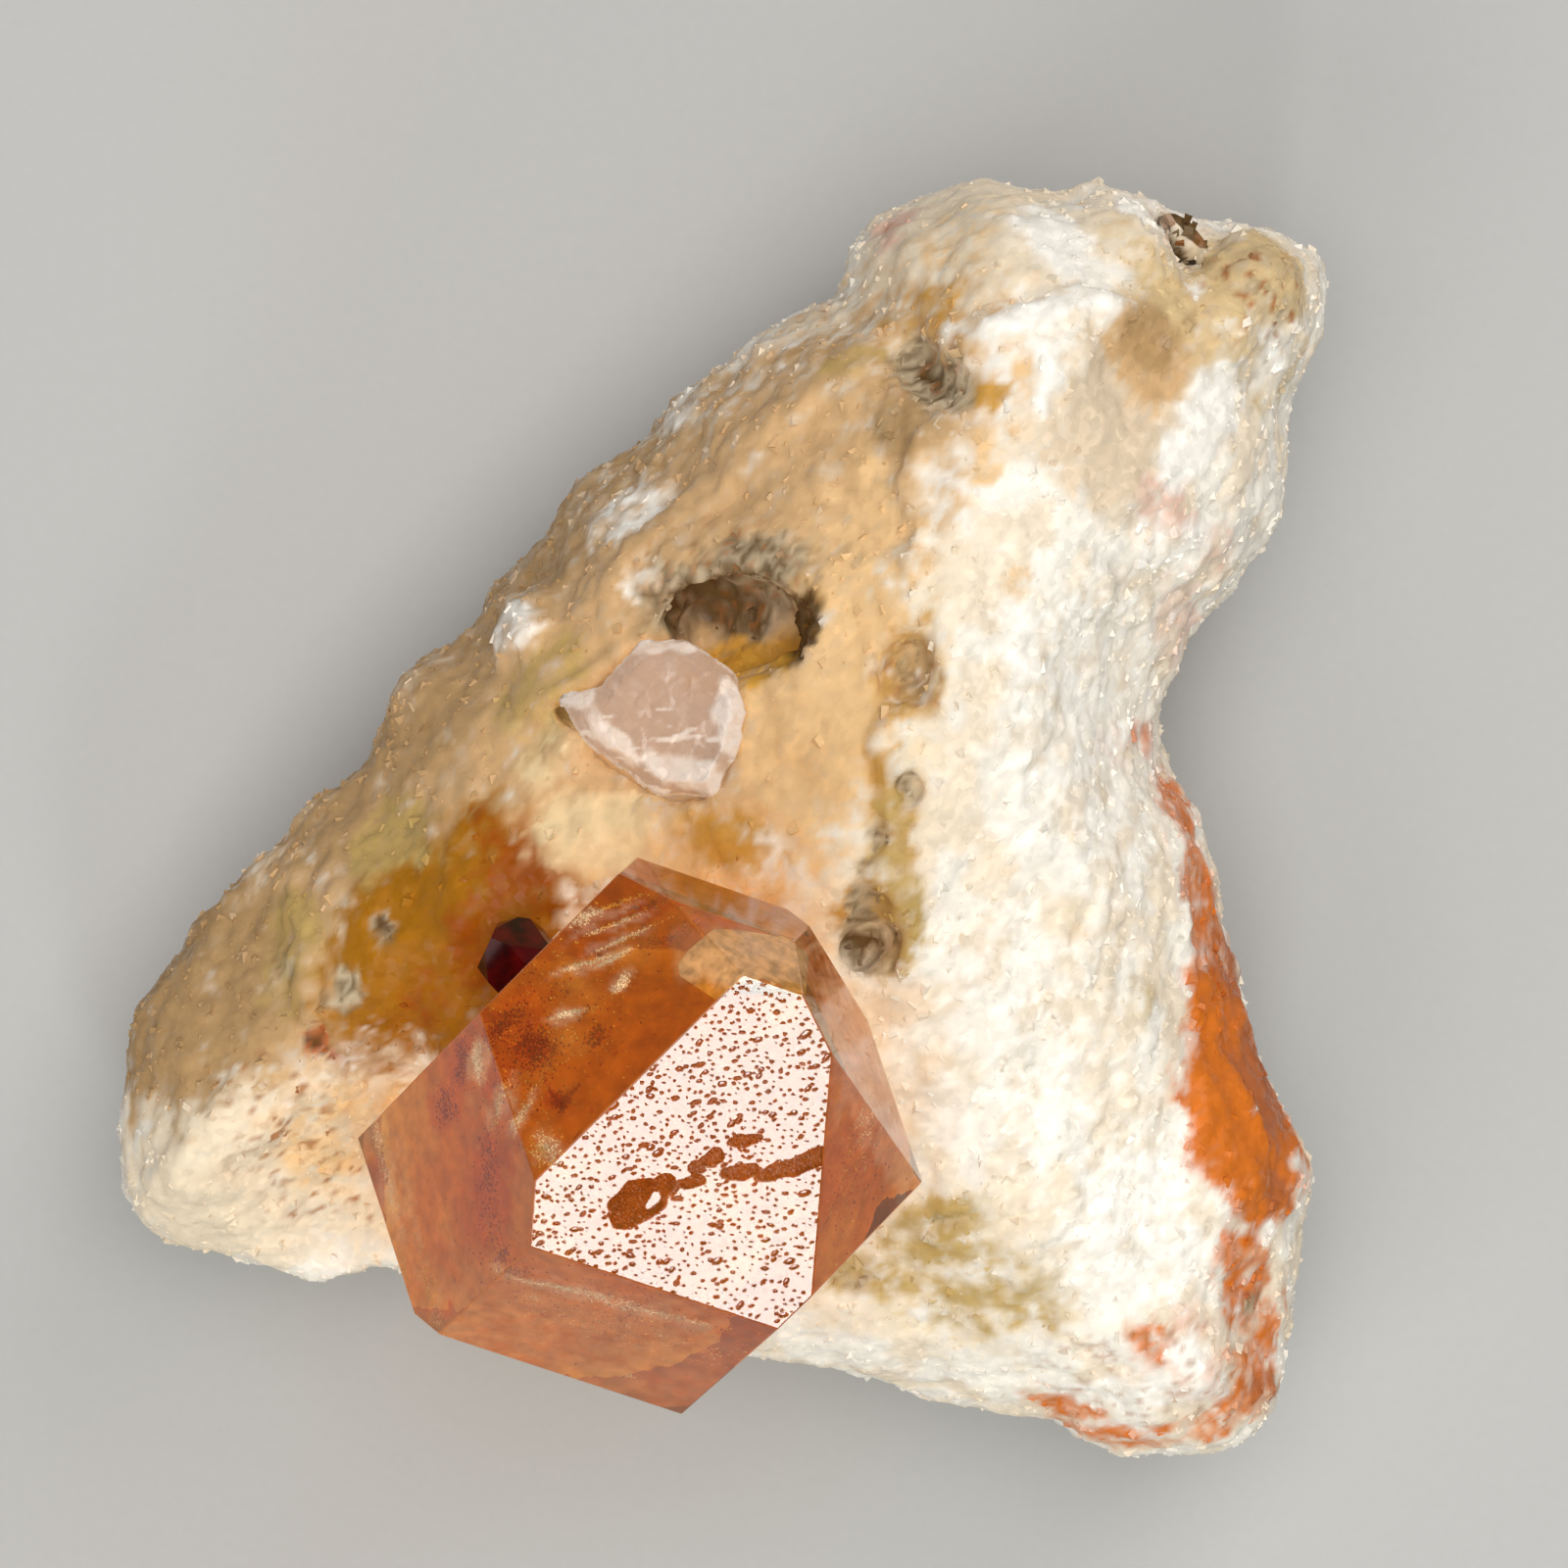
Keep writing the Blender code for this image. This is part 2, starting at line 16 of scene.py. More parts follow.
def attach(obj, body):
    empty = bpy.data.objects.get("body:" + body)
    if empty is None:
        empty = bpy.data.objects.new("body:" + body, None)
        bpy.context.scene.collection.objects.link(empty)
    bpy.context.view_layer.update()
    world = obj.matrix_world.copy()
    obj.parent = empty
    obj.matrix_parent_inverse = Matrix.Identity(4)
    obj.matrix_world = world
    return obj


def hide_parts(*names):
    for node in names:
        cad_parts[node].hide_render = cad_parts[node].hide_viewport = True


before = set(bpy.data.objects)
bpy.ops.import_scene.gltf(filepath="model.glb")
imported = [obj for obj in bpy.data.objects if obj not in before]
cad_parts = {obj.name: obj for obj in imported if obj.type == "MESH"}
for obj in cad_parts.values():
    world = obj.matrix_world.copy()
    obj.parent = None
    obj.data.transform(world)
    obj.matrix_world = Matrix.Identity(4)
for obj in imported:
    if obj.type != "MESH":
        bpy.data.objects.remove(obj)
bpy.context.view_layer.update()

MM = 0.001
print("nodes:", sorted(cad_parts))

# %% [markdown]
# The specimen lies on its back and the camera looks straight down on it. A long lens far away
# keeps the perspective of a close-up. The camera comes first, because the places of stains and
# of what shows inside the crystal are given in mm as the camera sees them: right and up from
# the middle of its view, on the level that the lens is set to.

# %% The camera
CAMERA_PLACE = Vector((3.21, 1.89, 492.0)) * MM
VIEW_SIDE = 80.0 * MM
VIEW_LEVEL = 12.0 * MM
SENSOR_SIDE = 36.0
NEAREST_SEEN = 0.01
FARTHEST_SEEN = 10.0


def add_camera():
    camera = bpy.data.objects.new("camera", bpy.data.cameras.new("camera"))
    bpy.context.scene.collection.objects.link(camera)
    bpy.context.scene.camera = camera
    camera.location = CAMERA_PLACE
    camera.data.sensor_width = SENSOR_SIDE
    camera.data.lens = SENSOR_SIDE * (CAMERA_PLACE.z - VIEW_LEVEL) / VIEW_SIDE
    camera.data.clip_start = NEAREST_SEEN
    camera.data.clip_end = FARTHEST_SEEN
    print("camera lens", round(camera.data.lens, 1), "mm")


add_camera()

# %% [markdown]
# A ray through a place in the view finds the point of a surface that shows there. A ray bends
# where it goes into clear quartz, so what shows at a place and lies under a face of the
# crystal is put along the bent ray.

# %% Rays through places in the view
QUARTZ_INDEX = 1.544


def view_ray(x, y):
    return Vector((x * MM, y * MM, VIEW_LEVEL - CAMERA_PLACE.z)).normalized()


def surface_point(tree, x, y):
    hit, normal = tree.ray_cast(CAMERA_PLACE, view_ray(x, y))[:2]
    if hit is None:
        raise ValueError(f"no surface shows at {x}, {y}")
    return hit, normal


def bent_ray(aim, normal, index):
    """Direction of a ray that has gone from air into a clear body through a flat face."""
    across = -aim.dot(normal)
    inner = 1.0 - (1.0 - across * across) / (index * index)
    return (aim / index + normal * (across / index - math.sqrt(inner))).normalized()


def inner_point(tree, x, y, depth):
    """The point that shows at a place in the view from a depth under a face of clear quartz."""
    hit, normal = surface_point(tree, x, y)
    return hit + bent_ray(view_ray(x, y), normal, QUARTZ_INDEX) * depth


slanting = Vector((1.0, 0.0, -1.0)).normalized()
bend = slanting.angle(bent_ray(slanting, Vector((0.0, 0.0, 1.0)), QUARTZ_INDEX))
print("a ray that comes in at 45 degrees bends by", round(math.degrees(bend), 1), "degrees")


# %% [markdown]
# Every piece starts from a copy of its solid, so that it keeps the solid's place and size. The
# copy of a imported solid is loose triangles, so its doubles are merged before anything else. The
# points of a finished mesh are read as one table, because moving them one by one is slow.

# %% Copies of the solids, and pieces made from them
MERGE_DISTANCE = 0.002 * MM


def merged_copy(node):
    bm = bmesh.new()
    bm.from_mesh(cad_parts[node].data)
    bmesh.ops.remove_doubles(bm, verts=bm.verts, dist=MERGE_DISTANCE)
    return bm


def mesh_from(bm, name):
    mesh = bpy.data.meshes.new(name)
    bm.to_mesh(mesh)
    bm.free()
    return mesh


def add_piece(mesh, name, material, node=None):
    piece = bpy.data.objects.new(name, mesh)
    bpy.context.scene.collection.objects.link(piece)
    mesh.materials.clear()
    mesh.materials.append(material)
    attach(piece, "root")
    if node:
        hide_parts(node)
    mesh.calc_loop_triangles()
    print(name, len(mesh.loop_triangles), "triangles")
    return piece


def with_modifiers(mesh, add_modifiers):
    """The mesh as it comes out of the modifiers that a function puts on its object."""
    holder = bpy.data.objects.new("holder", mesh)
    bpy.context.scene.collection.objects.link(holder)
    add_modifiers(holder)
    shown = holder.evaluated_get(bpy.context.evaluated_depsgraph_get())
    finished = bpy.data.meshes.new_from_object(shown)
    bpy.data.objects.remove(holder)
    return finished


def read_points(mesh):
    points = np.empty(len(mesh.vertices) * 3)
    mesh.vertices.foreach_get("co", points)
    return points.reshape(-1, 3)


def write_points(mesh, points):
    mesh.vertices.foreach_set("co", points.ravel())
    mesh.update()


def read_normals(mesh):
    normals = np.empty(len(mesh.vertices) * 3, np.float32)
    mesh.vertex_normals.foreach_get("vector", normals)
    return normals.reshape(-1, 3).astype(float)


print("triangles of the solids:", {name: len(node.data.polygons) for name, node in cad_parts.items()})

# %% [markdown]
# The large crystal is convex apart from its etched pits, so the hull of its solid gives back
# the flat faces as they were before etching. Each face is a plane, and the planes tell how far
# any point is from the crystal.

# %% The crystal's flat faces
FLATNESS = math.radians(0.6)


def hull_of(node):
    """The flat-faced convex body around a solid."""
    source = merged_copy(node)
    bm = bmesh.new()
    for vert in source.verts:
        bm.verts.new(vert.co)
    source.free()
    bmesh.ops.convex_hull(bm, input=bm.verts)
    loose = [vert for vert in bm.verts if not vert.link_faces]
    bmesh.ops.delete(bm, geom=loose, context="VERTS")
    bmesh.ops.dissolve_limit(bm, angle_limit=FLATNESS, verts=bm.verts, edges=bm.edges)
    bmesh.ops.recalc_face_normals(bm, faces=bm.faces)
    return bm


def hull_planes(bm):
    normals = np.array([face.normal[:] for face in bm.faces])
    levels = np.array([face.normal.dot(face.calc_center_median()) for face in bm.faces])
    return normals, levels


def height_over(points, planes):
    """Distance of each point outside a convex crystal, negative inside it."""
    normals, levels = planes
    return (points @ normals.T - levels).max(axis=1)


hull = hull_of("hematoid_quartz_crystal")
CRYSTAL_PLANES = hull_planes(hull)
CRYSTAL_TREE = BVHTree.FromBMesh(hull)
SOCKET_PLANES = [CRYSTAL_PLANES]
for node in ("dark_red_crystal", "clear_quartz_grain"):
    small_hull = hull_of(node)
    SOCKET_PLANES.append(hull_planes(small_hull))
    small_hull.free()
matrix_copy = merged_copy("matrix")
MATRIX_TREE = BVHTree.FromBMesh(matrix_copy)
matrix_copy.free()
print("crystal faces:", len(hull.faces))

# %% [markdown]
# Massive quartz breaks into a surface like coarse sugar. The solid's triangles are too large
# for that, so the copy gets an even mesh of small faces, is smoothed to take the triangles'
# edges away, and is then pushed in and out. Broken grains are cells that each tilt their own
# way, which gives small flat faces with steps between them, as the real break has. The noise
# gets a seed, so that every run breaks the stone in the same way.

# %% Noise over a surface
NOISE_SEED = 5
TILT_SPREAD = 17.0
GRAIN_STEP = 0.5
noise.seed_set(NOISE_SEED)


def soft_noise(points, size, seed):
    """A smooth wander between about -1 and 1, with lumps of the given size in mm."""
    places = points / (size * MM) + seed
    return np.array([noise.noise(Vector(place)) for place in places])


def warp_noise(points, size, seed):
    """Three smooth wanders at once, to bend a pattern's outline."""
    places = points / (size * MM) + seed
    return np.array([noise.noise_vector(Vector(place))[:] for place in places])


def grain_relief(points, size, seed):
    """Height of small broken faces of the given size in mm, each tilted its own way."""
    heights = np.empty(len(points))
    for index, place in enumerate(points / (size * MM) + seed):
        place = Vector(place)
        nearest = noise.voronoi(place)[1][0]
        tilt = noise.cell_vector(nearest * TILT_SPREAD) * 2.0 - Vector((1.0, 1.0, 1.0))
        heights[index] = (place - nearest).dot(tilt) + GRAIN_STEP * tilt.x
    return heights


print("noise at one place, the same in every run:", round(noise.noise(Vector((0.3, 0.6, 0.9))), 4))


# %% [markdown]
# A stain is a set of named spots. A spot has its place in the view, half its length and half
# its width in mm, its turn in degrees and its strength. The ray through its place finds the
# surface, and the spot spreads from there in all directions, so it wraps around edges as a
# real stain does. Spots of the same kind say where the surface is smooth, raised or hollow.

# %% Spots on a surface
SPOT_EDGE = 0.45
DEPTH_SHARE = 1.5
DEPTH_MORE = 1.0
# Each warp has the size of its lumps in mm, how far it moves a point in mm, and a seed.
WARPS = (
    (3.2, 0.9, 5.0),
    (1.1, 0.48, 23.0),
    (0.6, 0.36, 51.0),
)


def eased(share):
    """A share from 0 to 1 whose ends run out softly."""
    return share * share * (3.0 - 2.0 * share)


def bent_places(points):
    """The points in mm, moved about by noise so that a spot's outline is never an ellipse."""
    places = points / MM
    for size, reach, seed in WARPS:
        places = places + reach * warp_noise(points, size, seed)
    return places


def spot_share(places, tree, x, y, half_length, half_width, degrees):
    """How much of a spot is at each place, from 0 outside it to 1 in its middle."""
    centre = np.array(surface_point(tree, x, y)[0]) / MM
    turn = math.radians(degrees)
    away = places - centre
    along = away[:, 0] * math.cos(turn) + away[:, 1] * math.sin(turn)
    aside = away[:, 1] * math.cos(turn) - away[:, 0] * math.sin(turn)
    half_depth = DEPTH_SHARE * max(half_length, half_width) + DEPTH_MORE
    down = away[:, 2]
    reach = np.sqrt((along / half_length) ** 2 + (aside / half_width) ** 2 + (down / half_depth) ** 2)
    return eased(np.clip(0.5 + (1.0 - reach) / (2.0 * SPOT_EDGE), 0.0, 1.0))


def spot_mask(places, tree, spots):
    """How strongly a stain shows at each place, from 0 to 1: the strongest of its spots."""
    mask = np.zeros(len(places))
    for *outline, strength in spots.values():
        mask = np.maximum(mask, strength * spot_share(places, tree, *outline))
    return mask


def form_heights(places, tree, forms):
    """How far in mm small forms raise each place. A spot's last number is its height here."""
    heights = np.zeros(len(places))
    for *outline, height in forms.values():
        heights += height * spot_share(places, tree, *outline)
    return heights


def store_mask(mesh, name, values):
    attribute = mesh.attributes.new(name, "FLOAT", "POINT")
    attribute.data.foreach_set("value", values.astype(np.float32))


print("a spot's outline wanders by up to", round(sum(reach for size, reach, seed in WARPS), 2), "mm")

# %% [markdown]
# The stains of the lump, from the palest to the darkest. Tan and peach are where the quartz is
# clear enough to glow with the iron inside it. Rust runs down the right edge, dirt fills the
# pockets, and white is where the break is fresh. Some colours are painted shade: grey is partly
# painted shade on the rims that face away from the lights, olive is partly painted shade on the
# low rim by the crystal, and deep is painted shade in the hollows.

# %% Where the stains are
STAINS = {
    "warm": {
        "lobe": (-26.5, -19.5, 8.0, 5.5, 25, 1.0),
        "lobe end": (-22.0, -20.5, 4.0, 4.0, 0, 0.9),
        "left of the white leg": (4.0, 3.0, 14.0, 4.5, 82, 0.8),
        "lower leg": (9.0, -24.5, 8.0, 4.5, -10, 0.7),
        "upper bar": (4.0, 19.0, 7.0, 5.0, 40, 0.7),
        "right side of the white leg": (18.5, 4.0, 3.0, 9.0, 5, 0.6),
        "dome": (8.5, 28.0, 7.0, 5.0, 20, 0.9),
        "wall by the orange stain": (-9.8, -2.6, 3.4, 2.6, 0, 1.0),
    },
    "buff": {
        "smooth patch": (17.5, 18.5, 4.5, 5.0, -50, 1.0),
        "below the dome": (5.0, 23.6, 5.0, 2.4, 30, 0.6),
        "lobe top": (-27.0, -13.0, 6.0, 4.0, 45, 0.6),
    },
    "tan": {
        "left bar": (-10.0, 5.5, 27.0, 8.5, 43, 1.0),
        "left lobe": (-25.0, -9.0, 7.0, 6.0, 45, 1.0),
        "crotch": (-2.0, 5.0, 9.0, 8.0, 60, 0.9),
        "brown patch": (19.0, 22.6, 3.0, 2.6, -50, 1.0),
        "white leg mark one": (18.2, 0.0, 0.9, 0.5, 40, 0.55),
        "white leg mark two": (17.2, -3.0, 1.1, 0.5, 50, 0.5),
        "white leg mark three": (15.0, -7.5, 1.3, 0.7, 40, 0.5),
    },
    "peach": {
        "right of the crotch": (2.0, 5.0, 9.0, 4.0, 80, 0.9),
        "lobe end": (-23.0, -17.5, 4.0, 4.0, 0, 0.6),
        "under the clear grain": (-5.5, -4.0, 7.0, 2.5, -15, 0.8),
        "speck by the grey pocket": (10.0, 16.5, 0.9, 1.8, 0, 0.6),
        "speck under the ledge": (12.0, 20.8, 0.6, 1.0, 10, 0.7),
        "speck on the white": (12.3, 10.5, 0.5, 0.9, 10, 0.7),
        "left of the sharp edge": (5.0, 15.0, 1.2, 3.0, 10, 0.8),
        "dome": (9.0, 28.0, 3.0, 2.0, 0, 0.4),
    },
    # grey is partly painted shade: the lobe top and the bar rims face away from the lights and get a darker
    # colour; the other spots are the stone's own grey-brown
    "grey": {
        "lobe top": (-30.0, -11.0, 7.0, 5.0, 50, 1.0),
        "under the grey pocket": (6.3, 18.5, 2.0, 1.6, 0, 0.8),
        "bar rim": (-12.0, 12.0, 12.0, 2.4, 45, 0.7),
        "lower bar rim": (-20.0, 1.0, 8.0, 2.6, 45, 0.8),
        "brown patch": (19.3, 23.5, 2.4, 2.2, 60, 0.9),
        "smear on the bar": (2.0, 22.5, 5.0, 1.2, 35, 0.4),
    },
    "golden": {
        "golden dome": (-17.5, -8.0, 7.0, 5.0, 45, 1.3),
        "below the green stone": (-15.0, -2.0, 3.0, 2.0, 15, 0.5),
        "dome foot": (-20.0, -13.0, 4.0, 1.8, 25, 0.7),
    },
    "ochre": {
        "patch over the crystal": (-3.0, -3.1, 2.6, 1.8, -20, 0.8),
        "grey pocket edge": (10.0, 19.9, 1.4, 0.9, -60, 0.8),
        "cavity back": (0.0, 10.0, 2.0, 1.6, 0, 0.5),
        "under the dome": (7.8, 24.5, 3.0, 1.0, 20, 0.5),
        "upper pocket rim": (6.3, 5.5, 2.0, 3.0, 0, 0.6),
        "string rim": (5.4, -1.2, 1.0, 3.4, 10, 0.7),
        "three cornered rim": (4.9, -6.6, 1.9, 2.6, 0, 0.8),
        "grey pocket rim": (7.6, 21.4, 2.3, 1.9, -50, 0.5),
    },
    "straw": {
        "crust top": (24.0, 26.0, 3.8, 3.4, 0, 1.0),
        "crust foot": (22.4, 23.2, 2.4, 3.0, 70, 0.8),
        "crust right": (25.6, 22.4, 1.6, 3.0, 0, 0.6),
        "beside the cleft": (19.0, 25.6, 2.0, 2.0, -40, 0.8),
        "second lump": (16.4, 28.0, 2.4, 1.2, -10, 0.4),
    },
    "glow": {
        "cavity foot": (-1.5, 6.3, 3.0, 1.5, 15, 1.3),
        "cavity right foot": (0.4, 6.9, 1.4, 1.4, 0, 1.2),
    },
    "olive": {
        "green spot": (-20.0, -3.0, 2.8, 2.2, 45, 0.8),
        "green stone": (-12.0, 4.3, 3.6, 2.6, 60, 0.6),
        # painted shade over the stone's olive: these three low spots darken the rim by the crystal's lower
        # corner, which lies in shade
        "low smudge": (7.8, -22.8, 3.0, 2.0, 20, 0.8),
        "low band": (10.5, -25.8, 5.0, 2.2, -10, 0.6),
        "low left": (4.0, -25.3, 3.4, 1.4, -15, 0.8),
        "white face spot": (17.8, -11.6, 1.8, 1.2, 60, 0.6),
        "string of pockets": (5.3, -2.5, 1.0, 2.8, 0, 0.7),
        "three cornered rim": (5.8, -6.5, 1.6, 2.8, 0, 0.8),
        "upper dirt": (6.3, 5.5, 1.9, 2.9, 0, 0.3),
        "dome side": (-25.0, -8.0, 1.4, 3.2, -10, 0.7),
        "white face mark": (15.0, -6.5, 1.2, 1.6, 0, 0.4),
        "crust side": (24.5, 21.0, 2.2, 1.6, 60, 0.5),
        "smear left of the grey pocket": (4.0, 21.4, 2.4, 0.9, 10, 0.6),
    },
    "orange": {
        "orange glow": (-13.6, -4.4, 3.4, 2.4, -60, 0.6),
        "orange heart": (-13.3, -4.0, 2.0, 1.1, -60, 1.0),
        "above the red crystal": (-15.0, -7.5, 3.4, 2.2, 45, 0.75),
        "dome middle": (-18.5, -11.0, 2.5, 1.6, 45, 0.5),
        "red spot": (-14.4, -5.6, 0.8, 0.9, 0, 1.0),
    },
    "pale": {
        "wall by the orange stain": (-9.6, -2.5, 3.4, 2.0, 0, 0.95),
        "under the green stone": (-12.0, 1.4, 2.4, 2.0, 0, 0.5),
    },
    "pink": {
        "dome end": (5.3, 28.2, 1.6, 1.2, 30, 0.8),
        "sparkling stain": (19.8, 14.3, 1.7, 2.0, 30, 0.8),
        "right edge": (20.3, 8.0, 1.4, 3.2, 15, 0.6),
        "right shoulder": (22.0, 12.0, 2.0, 1.4, 30, 0.5),
        "over the red spot": (16.8, 1.8, 1.8, 1.2, 0, 0.6),
        "lower edge": (20.0, -29.0, 4.0, 3.0, 0, 0.5),
        "beside the rust": (16.0, -14.5, 2.0, 4.0, 0, 0.25),
    },
    "rust": {
        "red spot": (18.3, 2.6, 1.4, 0.9, 0, 1.0),
        "thin top": (20.0, -1.0, 2.2, 0.9, -60, 1.0),
        "thin band": (21.4, -6.0, 4.4, 1.3, -75, 0.8),
        "wider band": (22.6, -12.0, 3.6, 1.8, -70, 1.2),
        "broad band": (24.0, -16.5, 5.4, 3.6, -70, 1.2),
        "band corner": (24.6, -20.2, 3.0, 2.6, -60, 1.2),
        "vivid inner side": (22.4, -18.8, 3.0, 1.7, -65, 1.2),
        "tail": (23.3, -25.0, 3.2, 1.5, -80, 0.75),
        "low one": (24.3, -28.0, 2.4, 1.4, 70, 0.65),
        "low two": (19.0, -28.6, 1.6, 1.3, 0, 0.8),
        "low three": (24.0, -30.8, 2.0, 1.5, 30, 0.75),
        "low four": (14.3, -31.8, 2.0, 0.9, -15, 0.7),
        "bottom": (17.0, -33.0, 4.0, 1.1, -5, 0.6),
        "low five": (21.8, -32.6, 1.6, 0.9, 20, 0.6),
        "line under the dome": (-23.5, -13.3, 1.5, 0.35, -50, 1.0),
        "dome end": (5.3, 28.2, 0.8, 0.6, 0, 0.5),
    },
    "dark rust": {
        "outer side": (24.8, -15.4, 3.4, 1.3, -70, 0.9),
        "corner": (25.3, -20.6, 1.4, 1.2, -60, 0.8),
        "upper edge": (22.6, -9.6, 3.0, 0.6, -72, 0.7),
        "spot in the tail": (23.6, -26.5, 0.8, 0.8, 0, 0.9),
        "low": (24.6, -30.6, 1.2, 0.9, 0, 0.7),
        "line under the dome": (-23.5, -13.3, 1.6, 0.35, -50, 1.0),
    },
    "white": {
        "bar one": (-8.0, 13.9, 2.3, 1.5, 40, 0.65),
        "bar two": (-5.5, 18.8, 1.6, 1.0, 20, 0.6),
        "bar three": (-6.8, 10.0, 1.4, 0.9, 0, 0.6),
        "knob": (-13.5, 8.0, 1.5, 1.2, 30, 0.7),
        "dome flank": (13.8, 27.8, 2.8, 1.7, -60, 1.0),
        "right of the brown patch": (21.5, 18.5, 3.6, 1.7, 60, 1.0),
        "ledge": (14.0, 23.9, 3.6, 0.8, 12, 0.9),
        "step": (13.0, 20.8, 0.7, 1.9, 0, 0.9),
        "white leg": (16.0, 3.0, 6.0, 10.0, 5, 0.55),
        "white face": (13.0, -14.0, 6.0, 8.0, 10, 0.5),
        "fleck in the rust": (23.8, -15.9, 0.4, 0.4, 0, 0.9),
        "lower face": (17.5, -22.5, 4.5, 5.0, 0, 0.7),
        "around the sparkle": (19.8, 12.0, 2.4, 1.6, 20, 0.7),
        "lobe crest": (-23.5, -15.0, 3.6, 1.2, 30, 0.35),
        "crust edge": (25.0, 22.5, 1.6, 2.4, 0, 0.6),
        "top right": (18.5, 29.3, 2.0, 1.2, 0, 0.6),
        "low flake one": (20.8, -29.0, 1.5, 1.0, 0, 0.8),
        "low flake two": (24.5, -23.0, 0.9, 0.9, 0, 0.7),
        "low flake three": (18.0, -31.0, 2.6, 0.8, 0, 0.7),
    },
    "dirt": {
        "cavity fill": (-3.0, 9.6, 4.2, 2.2, 12, 1.0),
        "over the cavity": (-1.2, 11.4, 2.9, 1.5, 5, 0.95),
        "cavity wall": (1.2, 8.0, 0.6, 1.7, 0, 1.0),
        "grey pocket": (7.4, 20.9, 2.4, 1.5, -60, 1.0),
        "upper pocket": (6.3, 5.9, 1.1, 2.0, 0, 0.45),
        "middle pocket": (6.3, -0.1, 0.5, 0.8, 0, 0.8),
        "small pocket": (4.7, -2.5, 0.35, 0.45, 0, 0.9),
        "smallest pocket": (4.3, -3.9, 0.3, 0.4, 0, 0.9),
        "three cornered pocket": (4.4, -7.9, 1.3, 1.3, 0, 0.95),
        "its upper corner": (4.3, -5.8, 0.6, 1.3, 0, 0.9),
        "dark spot": (-20.3, -6.9, 0.55, 0.6, 0, 0.9),
        "smudge": (-22.5, -10.3, 0.9, 1.3, 20, 0.8),
        "cleft": (20.2, 27.5, 1.1, 0.5, -60, 1.0),
        "dome side": (-25.4, -9.5, 0.5, 1.3, -10, 0.5),
        "crust grains": (24.5, 25.0, 0.8, 0.7, 0, 0.5),
        "low spot": (23.6, -26.6, 0.5, 0.6, 0, 0.8),
        "low smudge": (7.9, -22.6, 0.9, 0.4, 0, 0.45),
        "low left smudge": (3.5, -25.6, 1.0, 0.4, 0, 0.4),
        "under the grey pocket": (5.3, 18.5, 0.8, 0.9, 0, 0.4),
    },
    # deep is painted shade: a near-black colour where shade falls in the cavity, the pockets, the cleft and
    # the crease under the dome
    "deep": {
        "under the fill": (-3.4, 8.3, 2.8, 0.9, 5, 0.8),
        "left corner": (-6.0, 9.4, 0.8, 0.5, 30, 0.7),
        "upper fill": (-1.6, 11.2, 3.0, 1.5, 5, 0.5),
        "left fill": (-4.4, 9.6, 1.8, 1.0, 10, 0.45),
        "cavity wall": (1.1, 8.2, 0.7, 2.2, 0, 1.0),
        "three cornered pocket": (4.2, -8.1, 0.7, 0.5, 0, 0.7),
        "grey pocket": (7.3, 21.0, 1.1, 0.5, -60, 0.75),
        "cleft": (20.2, 27.4, 1.3, 0.35, -58, 1.0),
        "dark spot": (-20.3, -6.9, 0.45, 0.5, 0, 0.8),
        "line under the dome": (-23.5, -13.3, 1.5, 0.25, -50, 0.8),
    },
    "specks": {
        "lobe": (-25.8, -16.5, 3.0, 2.6, 0, 0.9),
        "lobe foot": (-22.8, -20.8, 3.4, 1.6, 10, 1.0),
        "lobe middle": (-25.0, -18.0, 3.0, 2.0, 40, 0.8),
        "crust": (24.0, 25.0, 3.0, 2.4, 0, 1.0),
        "beside the cleft": (20.0, 26.5, 2.2, 2.6, 0, 0.7),
        "lower edge": (19.0, -30.0, 6.0, 3.0, 0, 0.5),
        "grey pocket": (7.3, 21.4, 2.6, 2.2, 0, 0.6),
        "cavity": (-3.0, 10.5, 4.6, 3.2, 0, 0.6),
        "upper pocket": (6.3, 5.5, 2.2, 2.6, 0, 0.5),
    },
}
print("spots of each stain:", {name: len(spots) for name, spots in STAINS.items()})

# %% [markdown]
# The stains' colours are mixed here and stored on the mesh as one colour for each point, because
# a material that looked up a dozen masks at every sample would be slow. A mask's soft edge is
# first broken up by fine noise and from grain to grain, as a stain creeps between real grains.
# The order goes from the palest to the darkest, with white flakes and dark specks last.

# %% The stains' colours
MILKY = (0.87, 0.74, 0.57)
CREAM = (0.93, 0.87, 0.77)
STAIN_COLORS = {
    "warm": (0.84, 0.70, 0.51),
    "buff": (0.73, 0.58, 0.41),
    "tan": (0.62, 0.39, 0.19),
    "peach": (0.78, 0.51, 0.25),
    # partly painted shade, on the rims that face away from the lights
    "grey": (0.44, 0.27, 0.12),
    "golden": (0.38, 0.15, 0.006),
    "ochre": (0.52, 0.27, 0.05),
    "straw": (0.66, 0.48, 0.25),
    "glow": (0.74, 0.38, 0.055),
    "olive": (0.49, 0.33, 0.11),
    "orange": (0.32, 0.075, 0.003),
    "pale": (0.80, 0.62, 0.36),
    "pink": (0.78, 0.52, 0.40),
    "rust": (0.64, 0.16, 0.014),
    "dark rust": (0.44, 0.125, 0.035),
    "white": (0.95, 0.90, 0.82),
    "dirt": (0.54, 0.43, 0.28),
    # painted shade for the hollows
    "deep": (0.11, 0.05, 0.011),
}
SPECK_COLOR = (0.40, 0.16, 0.05)
VEIN_COLOR = (0.14, 0.085, 0.03)
EDGE_BREAKUP = 0.36
GRAIN_BREAKUP = 0.16
STAIN_RANGE = (0.12, 0.85)
MOTTLE_SHARE = 0.08
FINE_SHARE = 0.5
BRIGHTEST = 0.97
OCTAVES = 4
CREAM_NOISE = (2.6, 7.0)       # each noise has a size in mm and a seed
CREAM_RANGE = (-0.35, 0.25)
FINE_NOISE = (1.1, 61.0)
